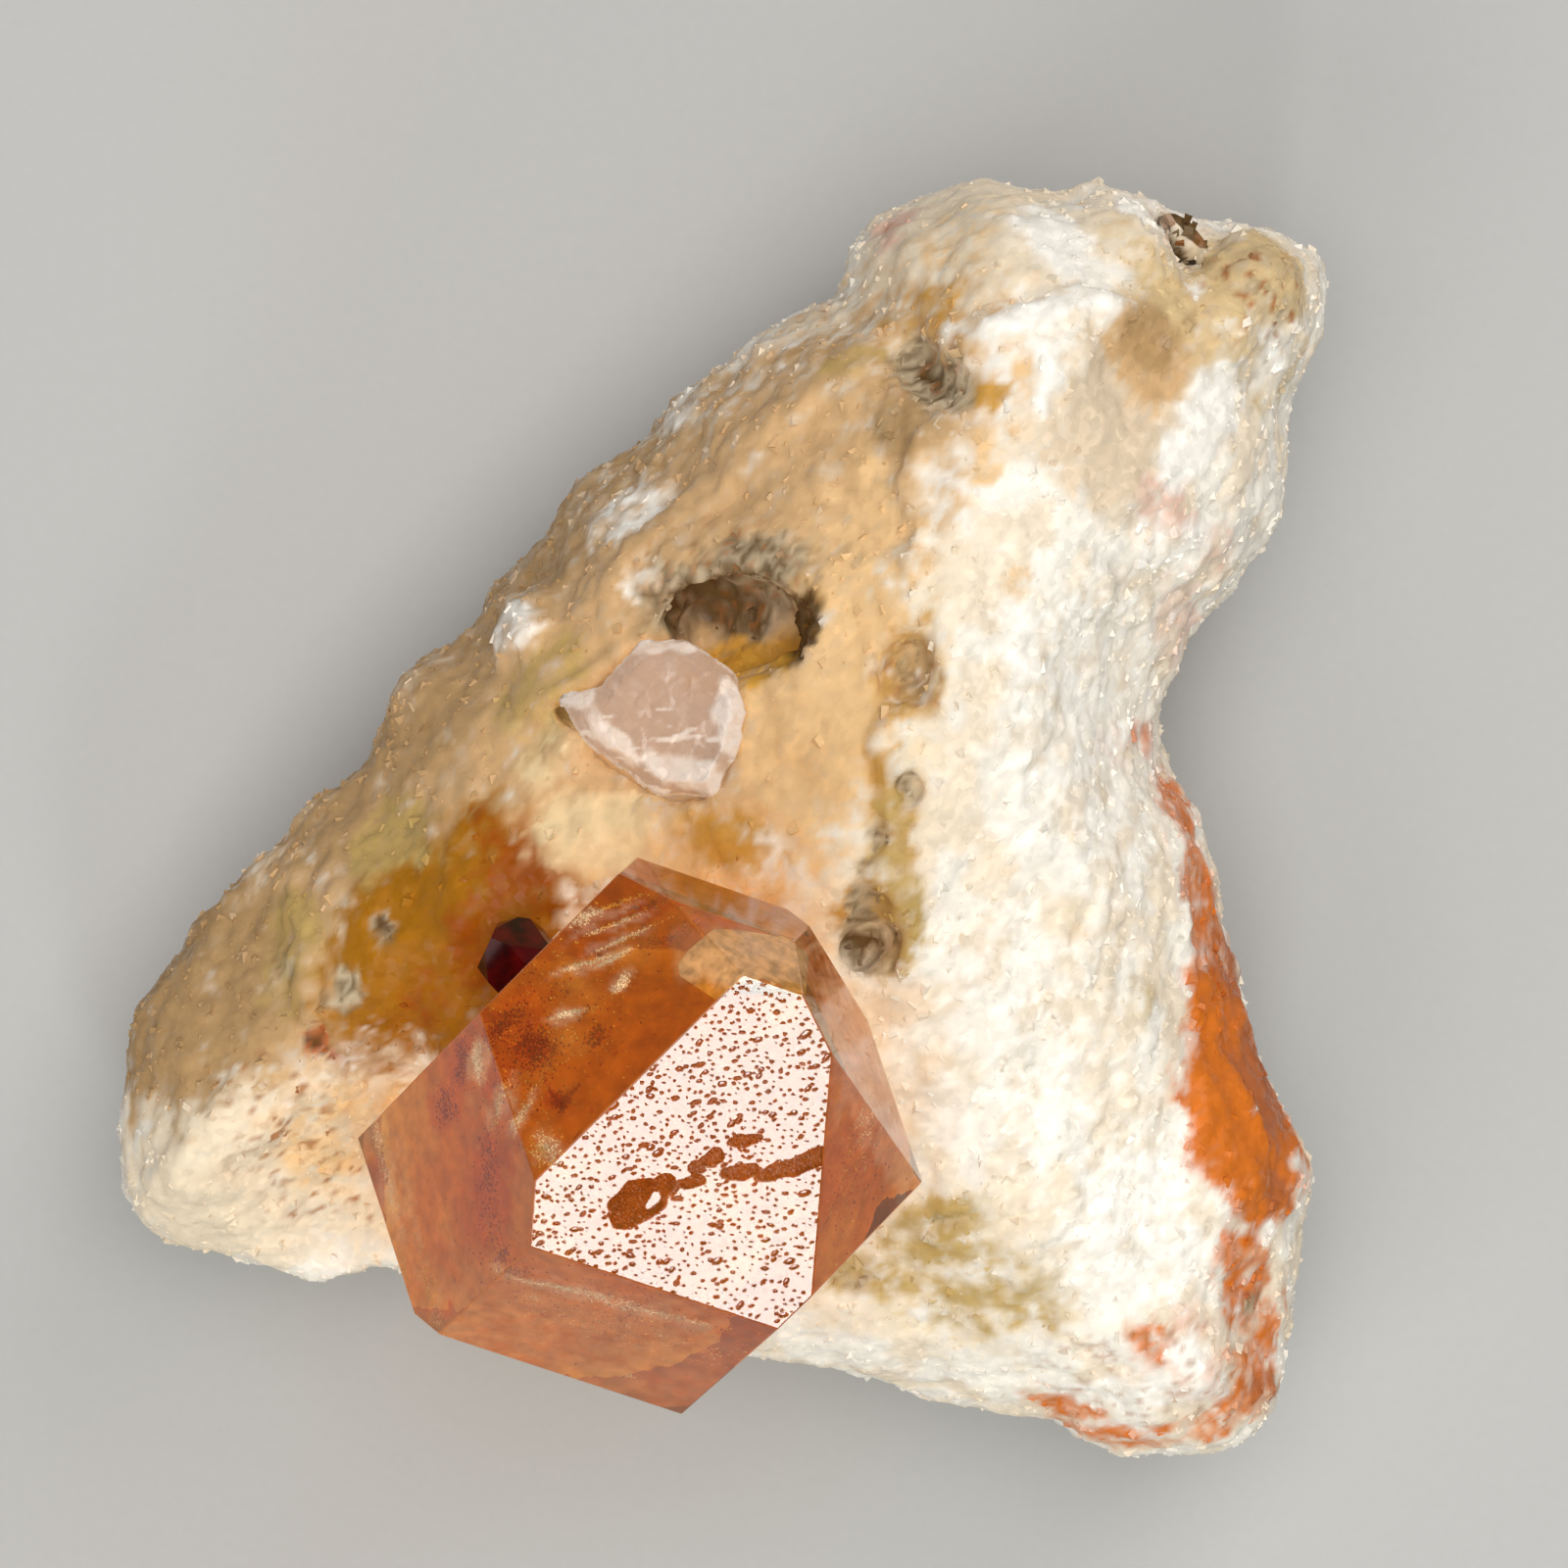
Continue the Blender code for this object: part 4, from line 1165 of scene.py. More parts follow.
# %% Etch pits
PIT_COUNT = 2300
PIT_GAP = 0.25
PIT_TREND = 20.0
PIT_TURN_SPREAD = 22.0
PIT_SIZE = 0.060
PIT_SIZE_SPREAD = 0.45
LARGEST_PIT = 0.18
PIT_STRETCHES = (1.0, 2.3)
PIT_STEEPNESS = (1.2, 2.2)
PIT_REACH = 2.7
PIT_DEPTH_SHARE = 0.7
PIT_DEPTH_LEAST = 0.03
PIT_WANDER = (0.4, 9.0)
PIT_WANDER_REACH = 0.03
FEWEST_PITS = 0.6
LARGE_STEEPNESS = 5.0
LARGE_WANDER = (0.8, 33.0)
LARGE_WANDER_REACH = 0.22
LARGE_PITS = {
    "great pit": (-7.4, -21.3, 1.5, 1.2, 35, 0.30, 0.12),
    "mirror in the great pit": (-6.7, -21.5, 0.75, 0.42, 60, 0.46, 0.0),
    "great pit's corner": (-6.2, -20.5, 0.8, 0.5, 40, 0.26, 0.10),
    "great pit's foot": (-8.2, -22.3, 0.7, 0.5, -20, 0.26, 0.10),
    "trench": (1.5, -19.2, 2.4, 0.52, 18, 0.22, 0.05),
    "trench's left end": (-0.2, -19.75, 1.2, 0.46, 18, 0.22, 0.05),
    "trench head": (-2.15, -19.8, 1.0, 0.45, 10, 0.18, 0.06),
    "knob of the trench": (-3.6, -19.1, 0.6, 0.52, 30, 0.16, 0.06),
    "above the trench": (-2.0, -18.2, 0.85, 0.36, 10, 0.14, 0.06),
    "left of the trench": (-4.75, -20.3, 0.8, 0.36, 10, 0.16, 0.06),
    "bead one": (-4.4, -19.7, 0.45, 0.3, 0, 0.12, 0.04),
    "bead two": (-5.6, -20.7, 0.42, 0.2, 50, 0.12, 0.04),
}


def push_in(depths, along, aside, half_length, half_width, degrees, depth, steepness):
    """Deepen the depths over an ellipse whose middle is at zero of along and aside."""
    turn = math.radians(degrees)
    reach = np.hypot(
        (along * math.cos(turn) + aside * math.sin(turn)) / half_length,
        (aside * math.cos(turn) - along * math.sin(turn)) / half_width,
    )
    inside = np.clip((1.0 - reach) * steepness, 0.0, 1.0)
    np.maximum(depths, depth * eased(inside), out=depths)


def face_wander(flat, size, seed):
    return warp_noise(np.column_stack([flat, np.zeros(len(flat))]) * MM, size, seed)[:, :2]


def pit_depths(flat, rng):
    """How deep in mm the face is etched at each point. The points are mm in the face."""
    along, aside = (flat + PIT_WANDER_REACH * face_wander(flat, *PIT_WANDER)).T
    depths = np.zeros(len(flat))
    trend = flat[:, 1] - flat[:, 0]
    share = (trend - trend.min()) / (trend.max() - trend.min())
    weight = FEWEST_PITS + share
    centres = flat[rng.choice(len(flat), PIT_COUNT, p=weight / weight.sum())]
    apart = np.full(len(centres), True)
    for index in range(1, len(centres)):
        gaps = np.hypot(*(centres[:index][apart[:index]] - centres[index]).T)
        apart[index] = gaps.min() > PIT_GAP
    for x, y in centres[apart]:
        size = min(PIT_SIZE * math.exp(rng.normal(0.0, PIT_SIZE_SPREAD)), LARGEST_PIT)
        reach = PIT_REACH * size
        close = np.flatnonzero((np.abs(along - x) < reach) & (np.abs(aside - y) < reach))
        patch = depths[close]
        stretch = rng.uniform(*PIT_STRETCHES)
        turn = rng.normal(PIT_TREND, PIT_TURN_SPREAD)
        steepness = rng.uniform(*PIT_STEEPNESS)
        outline = (size * stretch, size, turn)
        depth = PIT_DEPTH_SHARE * size + PIT_DEPTH_LEAST
        push_in(patch, along[close] - x, aside[close] - y, *outline, depth, steepness)
        depths[close] = patch
    print("small pits:", apart.sum())
    return depths


def add_large_pits(depths, flat, axes, tree, rng):
    """Deepen the depths by the large pits. Their places in the view are found on the tree."""
    wander = face_wander(flat, *LARGE_WANDER)
    for x, y, half_length, half_width, degrees, depth, rough in LARGE_PITS.values():
        centre = np.array(surface_point(tree, x, y)[0]) @ axes.T / MM
        floors = depth + rough * rng.uniform(-1.0, 1.0, len(depths))
        along, aside = (flat - centre + LARGE_WANDER_REACH * wander).T
        push_in(depths, along, aside, half_length, half_width, degrees, floors, LARGE_STEEPNESS)


print("forms of the large pits:", len(LARGE_PITS))

# %% [markdown]
# The crystal's mesh. Real edges are never quite sharp, so they get a fine bevel that catches the
# light. The bright face gets the finest grid, for its pits. The other faces that the camera
# sees get a coarser one, and those behind get the coarsest.

# %% The etched crystal
BRIGHT_PLACE = (-4.0, -16.5)
EDGE_BEVEL = 0.07 * MM
PIT_PITCH = 0.055 * MM
SEEN_PITCH = 0.22 * MM
FACE_PITCH = 0.5 * MM
SEEN_TILT = 0.1
SMALL_FACE = 2.0 * MM * MM
SAME_WAY = 0.9999
PIT_SEED = 4


def etched_crystal(bm):
    bm = bm.copy()
    bmesh.ops.bevel(
        bm, geom=bm.edges, offset=EDGE_BEVEL, segments=2, profile=0.5, affect="EDGES", material=-1,
    )
    bm.faces.ensure_lookup_table()
    tree = BVHTree.FromBMesh(bm)
    index = tree.ray_cast(CAMERA_PLACE, view_ray(*BRIGHT_PLACE))[2]
    bright = bm.faces[index]
    normal = bright.normal.copy()
    others = [face for face in bm.faces if face is not bright and face.calc_area() > SMALL_FACE]
    for face in others:
        cut_in_grid(bm, face, SEEN_PITCH if face.normal.z > SEEN_TILT else FACE_PITCH)
    grid = cut_in_grid(bm, bright, PIT_PITCH)
    verts = dict.fromkeys(vert for part in grid for vert in part.verts if not vert.is_boundary)
    inner = [vert for vert in verts if all(link.normal.dot(normal) > SAME_WAY for link in vert.link_faces)]
    axes = np.array([axis[:] for axis in face_axes(normal)])
    flat = np.array([vert.co[:] for vert in inner]) @ axes.T / MM
    rng = np.random.default_rng(PIT_SEED)
    depths = pit_depths(flat, rng)
    add_large_pits(depths, flat, axes, tree, rng)
    for vert, depth in zip(inner, depths):
        vert.co -= normal * (depth * MM)
    print("grid of", len(grid), "faces;", len(inner), "points free to etch;", len(others), "other faces")
    print("deepest pit", round(depths.max(), 2), "mm")
    return bm


crystal_mesh = mesh_from(etched_crystal(hull), "crystal")


# %% [markdown]
# Clouds of fine iron oxide just under the skin give each part of the crystal its own tone. They
# are spots too, found on the crystal's faces. What floats deeper is made as real flakes below.

# %% The crystal's tones
TONES = {
    "brown": {
        "top strip": (-2.0, -6.0, 5.0, 1.6, -20, 0.9),
        "right edge": (1.8, -9.4, 2.4, 0.7, -60, 0.8),
    },
    "beige": {
        "foot": (-9.0, -28.0, 9.0, 3.2, -17, 0.7),
        "lower left corner": (-16.4, -27.2, 2.4, 2.0, 0, 0.7),
        "left margin": (-20.2, -19.5, 5.0, 1.0, -72, 0.6),
        "corner haze": (-15.2, -16.8, 2.0, 1.6, 45, 0.5),
    },
    "peach": {
        "right rim": (4.2, -14.0, 5.5, 2.6, -62, 1.0),
        "right rim foot": (6.0, -18.8, 2.6, 1.4, -60, 1.0),
    },
    "light tan": {
        "growth patch": (-3.0, -8.9, 2.6, 1.3, -15, 1.3),
        "ridge": (-0.6, -8.6, 2.2, 1.2, -15, 1.3),
    },
    "red": {
        "upper left": (-12.8, -13.5, 1.3, 0.8, 60, 0.8),
        "left patch": (-16.5, -14.2, 2.4, 0.8, 70, 1.0),
        "lower left patch": (-17.3, -16.4, 1.4, 0.9, 60, 1.0),
        "upper margin": (-14.0, -11.8, 2.4, 0.7, 45, 0.8),
        "middle": (-15.0, -20.5, 3.6, 1.3, 80, 0.8),
        "round spot": (-11.4, -16.2, 0.5, 0.5, 0, 0.9),
        "top": (-7.0, -6.6, 2.0, 0.4, 15, 0.6),
        "upper left wide": (-13.8, -12.6, 2.8, 1.4, 50, 0.8),
        "left of the lens": (-16.9, -13.2, 1.2, 0.6, 60, 0.9),
        "under the lens": (-14.6, -15.2, 1.4, 0.7, 50, 0.8),
    },
    "cream": {
        "lens": (-15.7, -14.2, 1.2, 0.5, 75, 1.2),
        "tuft right of the lens": (-10.3, -6.8, 1.0, 0.5, 20, 0.8),
        "fibres one": (-14.6, -16.6, 1.8, 0.45, 60, 0.7),
        "fibres two": (-13.6, -17.2, 1.6, 0.4, 62, 0.7),
        "streak one": (-11.1, -11.75, 1.2, 0.3, 12, 1.0),
        "streak two": (-8.3, -10.2, 0.9, 0.4, 40, 1.0),
        "wisp": (-10.3, -9.2, 1.8, 0.22, 14, 0.9),
        "wisp two": (-8.7, -8.9, 1.2, 0.2, 25, 0.8),
        "veil one": (-9.3, -6.4, 2.2, 0.22, 18, 0.9),
        "veil two": (-8.8, -7.2, 2.3, 0.22, 20, 0.9),
        "veil three": (-8.4, -8.0, 2.1, 0.2, 22, 0.8),
        "round haze": (-12.2, -18.6, 0.9, 0.8, 0, 0.45),
        "foot streaks": (-11.0, -25.8, 3.6, 0.35, -12, 0.8),
        "foot streaks two": (-6.5, -27.0, 3.0, 0.4, -14, 0.7),
        "left margin": (-20.4, -19.5, 4.0, 0.5, -72, 0.5),
    },
}
TONE_COLORS = {
    "brown": (0.40, 0.16, 0.012),
    "beige": (0.74, 0.44, 0.17),
    "peach": (0.90, 0.66, 0.42),
    "light tan": (0.80, 0.52, 0.24),
    "red": (0.60, 0.145, 0.003),
    "cream": (0.92, 0.74, 0.48),
}


print("tones:", {name: len(spots) for name, spots in TONES.items()})

# %% [markdown]
# The tones are mixed at the points of the crystal's mesh, over an orange that wanders to a paler
# one. The pits' floors are rough and full of rust, so whatever lies below the flat face of the
# crystal is tinted brown.

# %% The crystal's colours
BODY_ORANGE = (0.65, 0.235, 0.010)
BODY_PALE = (0.77, 0.40, 0.06)
PALE_NOISE = (4.5, 3.0)
PALE_RANGE = (0.0, 0.6)
TONE_EDGE_NOISE = (1.0, 91.0)
TONE_BREAKUP = 0.5
TONE_WARP = (1.6, 4.0)
TONE_WARP_REACH = 0.5
TONE_RANGE = (0.15, 0.9)
PIT_COLOR = (0.56, 0.26, 0.06)
PIT_DEPTHS = (0.03, 0.07)


def toned_colors(points):
    """The tint of the iron just under the skin, at each point of the crystal."""
    wander = share_between(fine_noise(points, *PALE_NOISE), *PALE_RANGE)
    fine = fine_noise(points, *TONE_EDGE_NOISE)
    colors = mixed(np.tile(BODY_ORANGE, (len(points), 1)), BODY_PALE, wander)
    places = points / MM + TONE_WARP_REACH * warp_noise(points, *TONE_WARP)
    for name, color in TONE_COLORS.items():
        mask = spot_mask(places, CRYSTAL_TREE, TONES[name])
        broken = mask + TONE_BREAKUP * fine * (mask > 0.0)
        colors = mixed(colors, color, share_between(broken, *TONE_RANGE))
    under = -height_over(points, CRYSTAL_PLANES) / MM
    print("points in pits:", np.count_nonzero(under > PIT_DEPTHS[0]), "of", len(points))
    return mixed(colors, PIT_COLOR, share_between(under, *PIT_DEPTHS))


store_colors(crystal_mesh, toned_colors(read_points(crystal_mesh)))

# %% [markdown]
# The crystal's body is clear quartz with iron in it: light goes through, is absorbed more the
# bluer it is, and a part of it is scattered by haze. So the shader mixes plain transmission with
# the stored colour, and the inside absorbs. Lamp light would cast a black shadow through the
# skin, so it is let straight through, tinted.

# %% Hematoid quartz
ABSORBED_COLOR = (0.80, 0.54, 0.01, 1.0)
ABSORPTION = 110.0
CLEAR_SHARE = 0.85
SHADOW_TINT = (0.92, 0.84, 0.74)
POLISH = 0.03
HAZE_SIZE = 1.0
HAZE_DETAIL = 6.0
HAZE_TINTS = (0.72, 1.15)


def let_light_in(nodes, links, shader, tint):
    """Let lamp light go straight through the skin, tinted, so that it reaches what is inside."""
    clear = add_node(nodes, "ShaderNodeBsdfTransparent")
    clear.inputs["Color"].default_value = (*tint, 1.0)
    path = add_node(nodes, "ShaderNodeLightPath")
    mix = add_node(nodes, "ShaderNodeMixShader")
    links.new(path.outputs["Is Shadow Ray"], mix.inputs["Fac"])
    links.new(shader.outputs["BSDF"], mix.inputs[1])
    links.new(clear.outputs["BSDF"], mix.inputs[2])
    links.new(mix.outputs["Shader"], nodes["Material Output"].inputs["Surface"])


def hematoid_quartz():
    material, nodes, links, shader = new_material("hematoid quartz")
    haze = ramp(nodes, links, noise_lumps(nodes, links, HAZE_SIZE, HAZE_DETAIL), *CLOUD_RANGE, *HAZE_TINTS)
    links.new(tinted(nodes, links, stored_color(nodes), haze), shader.inputs["Base Color"])
    shader.inputs["Roughness"].default_value = POLISH
    shader.inputs["IOR"].default_value = QUARTZ_INDEX
    shader.inputs["Transmission Weight"].default_value = CLEAR_SHARE
    inside = add_node(nodes, "ShaderNodeVolumeAbsorption")
    inside.inputs["Color"].default_value = ABSORBED_COLOR
    inside.inputs["Density"].default_value = ABSORPTION
    links.new(inside.outputs["Volume"], nodes["Material Output"].inputs["Volume"])
    let_light_in(nodes, links, shader, SHADOW_TINT)
    return material


HEMATOID_QUARTZ = hematoid_quartz()
add_piece(crystal_mesh, "orange_crystal", HEMATOID_QUARTZ, "hematoid_quartz_crystal")

# %% [markdown]
# Inside the crystal float flakes of red iron oxide and pale flecks, which are tiny bubbles of
# the liquid it grew in. Both gather in clouds. Each cloud has a place in the view, a depth
# under the face, half its length, width and depth in mm, its turn and how many it holds. The
# place is followed along the bent ray, so a cloud shows where it should.

# %% Clouds in the crystal
RED_CLOUDS = {
    "upper left patch": (-12.8, -13.5, 1.0, 0.9, 1.2, 0.8, 60, 620),
    "left patch": (-16.5, -14.2, 0.9, 1.4, 0.5, 0.8, 70, 240),
    "lower patch": (-17.3, -16.4, 1.1, 0.9, 0.7, 0.9, 60, 180),
    "middle patch": (-14.3, -12.3, 1.4, 1.2, 0.4, 0.8, 40, 260),
    "low middle": (-15.1, -21.0, 1.6, 3.0, 1.0, 1.4, 80, 300),
    "low middle heart": (-15.0, -19.0, 1.2, 1.2, 0.6, 0.8, 80, 110),
    "low right": (-14.4, -24.1, 1.4, 0.9, 0.5, 1.0, 30, 160),
    "round spot": (-11.4, -16.2, 1.2, 0.36, 0.36, 0.4, 0, 260),
    "ray one": (-10.9, -15.8, 1.2, 0.7, 0.08, 0.2, 40, 60),
    "ray two": (-11.9, -15.7, 1.2, 0.7, 0.08, 0.2, -60, 60),
    "right spot": (-9.6, -12.9, 1.6, 0.7, 0.4, 0.6, 20, 140),
    "top streak": (-7.0, -6.2, 0.6, 1.8, 0.25, 0.4, 12, 180),
    "top streak two": (-6.3, -8.0, 0.7, 1.4, 0.25, 0.4, 15, 140),
    "whole upper left": (-13.0, -13.0, 3.0, 6.0, 3.4, 2.6, 45, 500),
    "whole foot": (-9.0, -26.5, 3.0, 8.0, 2.4, 3.0, -15, 380),
    "right side": (4.0, -20.0, 2.4, 2.4, 4.0, 2.4, 0, 160),
}
PALE_CLOUDS = {
    "lens": (-15.7, -14.2, 0.35, 1.0, 0.5, 0.25, 75, 620),
    "tuft right of the lens": (-10.3, -6.8, 0.4, 0.9, 0.4, 0.3, 20, 260),
    "fibres one": (-14.6, -16.6, 0.7, 1.7, 0.3, 0.5, 60, 340),
    "fibres two": (-13.6, -17.2, 0.8, 1.6, 0.25, 0.5, 62, 260),
    "streak one": (-11.1, -11.75, 0.35, 1.1, 0.14, 0.2, 12, 260),
    "streak two": (-8.3, -10.2, 0.35, 0.7, 0.25, 0.2, 40, 220),
    "wisp": (-10.3, -9.2, 0.4, 1.5, 0.12, 0.2, 14, 260),
    "wisp two": (-8.7, -8.9, 0.4, 1.0, 0.10, 0.2, 25, 150),
    "veil one": (-9.3, -6.4, 0.4, 2.1, 0.10, 0.2, 18, 260),
    "veil two": (-8.8, -7.2, 0.5, 2.2, 0.10, 0.2, 20, 260),
    "veil three": (-8.4, -8.0, 0.5, 2.0, 0.09, 0.2, 22, 200),
    "left margin": (-20.4, -19.5, 0.7, 3.6, 0.5, 0.7, -72, 620),
    "lower left margin": (-18.4, -24.5, 0.8, 3.6, 0.7, 0.9, -70, 620),
    "flecks at the left foot": (-19.4, -24.6, 0.4, 0.9, 0.3, 0.2, 80, 90),
    "foot streaks": (-11.0, -25.8, 0.5, 3.4, 0.25, 0.4, -12, 520),
    "foot streaks two": (-6.5, -27.0, 0.6, 3.0, 0.3, 0.5, -14, 420),
    "foot haze": (-8.0, -28.0, 1.6, 7.0, 1.4, 1.4, -17, 900),
    "foot flecks": (-12.8, -26.2, 0.3, 0.4, 0.25, 0.2, 0, 60),
    "foot fleck": (-7.9, -30.2, 0.3, 0.25, 0.15, 0.2, 0, 40),
    "round haze": (-12.2, -18.6, 0.6, 0.75, 0.75, 0.3, 0, 420),
    "whole upper left": (-13.0, -13.5, 2.0, 6.0, 4.0, 2.0, 45, 700),
    "right side": (4.0, -18.5, 1.4, 4.0, 1.4, 1.4, 80, 420),
}


print("red clouds:", len(RED_CLOUDS), "pale clouds:", len(PALE_CLOUDS))

# %% [markdown]
# A flake is a flattened ball of eight triangles, turned at random. Painting the clouds on the skin
# would be quicker, but real flakes shift against the faces when the view moves, and they cast
# their small shadows.

# %% What floats in the crystal
FLAKE_SEED = 21
CLOUD_SPREAD = 0.55
SKIN_MARGIN = 0.12 * MM
RED_WIDTHS = (0.06, 0.24)
RED_FLATNESS = 0.5
RED_COLOR = (0.42, 0.03, 0.004)
PALE_WIDTHS = (0.04, 0.16)
PALE_FLATNESS = 0.6
PALE_COLOR = (1.0, 0.86, 0.70)
FLAKE_MOTTLE = 0.8
FLAKE_ROUGHNESS = 0.5
DARKER_SHARE = 0.55
PLAIN_DETAIL = 2.0


def make_fleck(bm):
    bmesh.ops.create_uvsphere(bm, u_segments=4, v_segments=2, radius=0.5)


def cloud_points(clouds, rng):
    """Points of all the clouds that lie inside the crystal."""
    sets = []
    for x, y, depth, half_length, half_width, half_depth, degrees, count in clouds.values():
        hit, normal = surface_point(CRYSTAL_TREE, x, y)
        down = bent_ray(view_ray(x, y), normal, QUARTZ_INDEX)
        turn = math.radians(degrees)
        along = Vector((math.cos(turn), math.sin(turn), 0.0))
        along = (along - down * along.dot(down)).normalized()
        axes = np.array([along[:], down.cross(along)[:], down[:]])
        spread = rng.normal(0.0, CLOUD_SPREAD, (count, 3)) * (half_length, half_width, half_depth)
        sets.append(np.array(hit + down * (depth * MM)) + spread @ axes * MM)
    points = np.concatenate(sets)
    return points[height_over(points, CRYSTAL_PLANES) < -SKIN_MARGIN]


def float_in_crystal(clouds, widths, flatness, rng):
    points = cloud_points(clouds, rng)
    turns = rng.uniform(0.0, math.tau, (len(points), 3))
    size = rng.uniform(*widths, len(points)) * MM
    sizes = size[:, None] * np.array((1.0, 1.0, flatness))
    return copies_on(points, turns, sizes, small_shape(make_fleck))


def plain_quartz(name, color, roughness, mottle):
    """A matt finish whose tint varies a little, in lumps of mottle mm."""
    material, nodes, links, shader = new_material(name)
    darker = tuple(DARKER_SHARE * part for part in color)
    base = mottled(nodes, links, darker, color, mottle, PLAIN_DETAIL)
    links.new(base, shader.inputs["Base Color"])
    shader.inputs["Roughness"].default_value = roughness
    return material


rng = np.random.default_rng(FLAKE_SEED)
red_mesh = float_in_crystal(RED_CLOUDS, RED_WIDTHS, RED_FLATNESS, rng)
iron_oxide = plain_quartz("iron oxide", RED_COLOR, FLAKE_ROUGHNESS, FLAKE_MOTTLE)
add_piece(red_mesh, "red_flakes", iron_oxide)
pale_mesh = float_in_crystal(PALE_CLOUDS, PALE_WIDTHS, PALE_FLATNESS, rng)
bubble_flecks = plain_quartz("bubble flecks", PALE_COLOR, FLAKE_ROUGHNESS, FLAKE_MOTTLE)
add_piece(pale_mesh, "pale_flecks", bubble_flecks)

# %% [markdown]
# A growth sheet: while the crystal grew it stood still for a time, and a thin pale film settled
# on a corner of it before the next layer covered it. It has straight edges and lies just under
# the faces. Its outline is cut into a grid, and every point goes down along the bent ray.

# %% The growth sheet
SHEET_OUTLINE = (
    (-3.5, -11.0), (-5.3, -9.8), (-5.4, -9.2), (-4.9, -8.5), (-3.6, -7.4), (-2.7, -7.4),
    (0.0, -7.8), (1.3, -8.7), (1.1, -10.7), (-1.8, -9.9), (-3.0, -10.6),
)
SHEET_DEPTH = 0.30
SHEET_THICKNESS = 0.04
SHEET_PITCH = 0.3
SHEET_COLOR = (0.66, 0.46, 0.31)
SHEET_ROUGHNESS = 0.6
SHEET_MOTTLE = 0.5


def growth_sheet():
    bm = bmesh.new()
    outline = bm.faces.new([bm.verts.new((x * MM, y * MM, 0.0)) for x, y in SHEET_OUTLINE])
    outline.normal_update()
    cut_in_grid(bm, outline, SHEET_PITCH * MM)
    for vert in bm.verts:
        vert.co = inner_point(CRYSTAL_TREE, vert.co.x / MM, vert.co.y / MM, SHEET_DEPTH * MM)
    lower = bmesh.ops.extrude_face_region(bm, geom=bm.faces, use_keep_orig=True)
    for part in lower["geom"]:
        if isinstance(part, bmesh.types.BMVert):
            part.co.z -= SHEET_THICKNESS * MM
    bmesh.ops.recalc_face_normals(bm, faces=bm.faces)
    return mesh_from(bm, "growth sheet")


pale_film = plain_quartz("pale film", SHEET_COLOR, SHEET_ROUGHNESS, SHEET_MOTTLE)
add_piece(growth_sheet(), "growth_sheet", pale_film)

# %% [markdown]
# The small dark red crystal keeps its solid, whose faces are right. It is so full of iron oxide
# that hardly any light comes through, so a dark colour with a soft gloss is enough.

# %% The dark red crystal
DARKEST_RED = (0.008, 0.0002, 0.0004)
DARK_RED = (0.075, 0.0005, 0.001)
DARK_RED_MOTTLE = 1.2
DARK_RED_DETAIL = 4.0
DARK_RED_ROUGHNESS = 0.12
DARK_RED_GLOSS = 0.15


def dark_red_quartz():
    material, nodes, links, shader = new_material("dark red quartz")
    base = mottled(nodes, links, DARKEST_RED, DARK_RED, DARK_RED_MOTTLE, DARK_RED_DETAIL)
    links.new(base, shader.inputs["Base Color"])
    shader.inputs["Roughness"].default_value = DARK_RED_ROUGHNESS
    shader.inputs["IOR"].default_value = QUARTZ_INDEX
    shader.inputs["Specular IOR Level"].default_value = DARK_RED_GLOSS
    return material


red_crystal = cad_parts["dark_red_crystal"]
for material_slot in red_crystal.material_slots:
    material_slot.material = dark_red_quartz()
print("slots of the dark red crystal:", len(red_crystal.material_slots))

# %% [markdown]
# The clear grain is a broken piece of clear quartz. It has a frosted, chipped rim and a
# smoother middle that shows the rock below it. The rim is where its surface turns away from
# the view, and spots add the frost that the photograph shows. Its own mesh is finer than the
# lump's, so that the chips are shapes.

# %% The clear grain
CLEAR_VOXEL = 0.12 * MM
CLEAR_SMOOTH_TIMES = 1
CLEAR_MIDDLE = (0.58, 0.45, 0.37)
FROST_COLOR = (0.96, 0.93, 0.90)
LINE_STRETCH = (0.2, 1.0, 0.4)
LINES_BELOW = 5.6 * MM
LINE_NOISE = (0.5, 12.0)
LINE_RANGE = (0.1, 0.45)
LINE_STRENGTH = 0.8
RIM_SLOPE = 1.2
RIM_LEAST = 0.3
RIM_FROST = 0.2
FROST_WARP = (1.2, 8.0)
FROST_WARP_REACH = 0.4
FROST_NOISE = (0.6, 3.0)
FROST_BREAKUP = 0.3
FROST_RANGE = (0.15, 0.9)
FROST_ROUGHNESS = 0.6
CLEAR_LUMPS = (0.14, 1.4, 31.0)
CHIPS = (0.13, 0.9, 19.0)
FROSTED = {
    "left tip": (-10.6, 4.6, 1.2, 0.8, -20, 1.0),
    "right rim": (-2.6, 3.2, 0.9, 2.2, 10, 1.0),
    "lower rim": (-5.0, 0.6, 2.6, 0.8, -15, 0.9),
    "lower left rim": (-8.8, 2.4, 2.0, 0.6, -50, 0.9),
    "upper rim": (-6.0, 7.2, 2.6, 0.5, 5, 0.8),
}


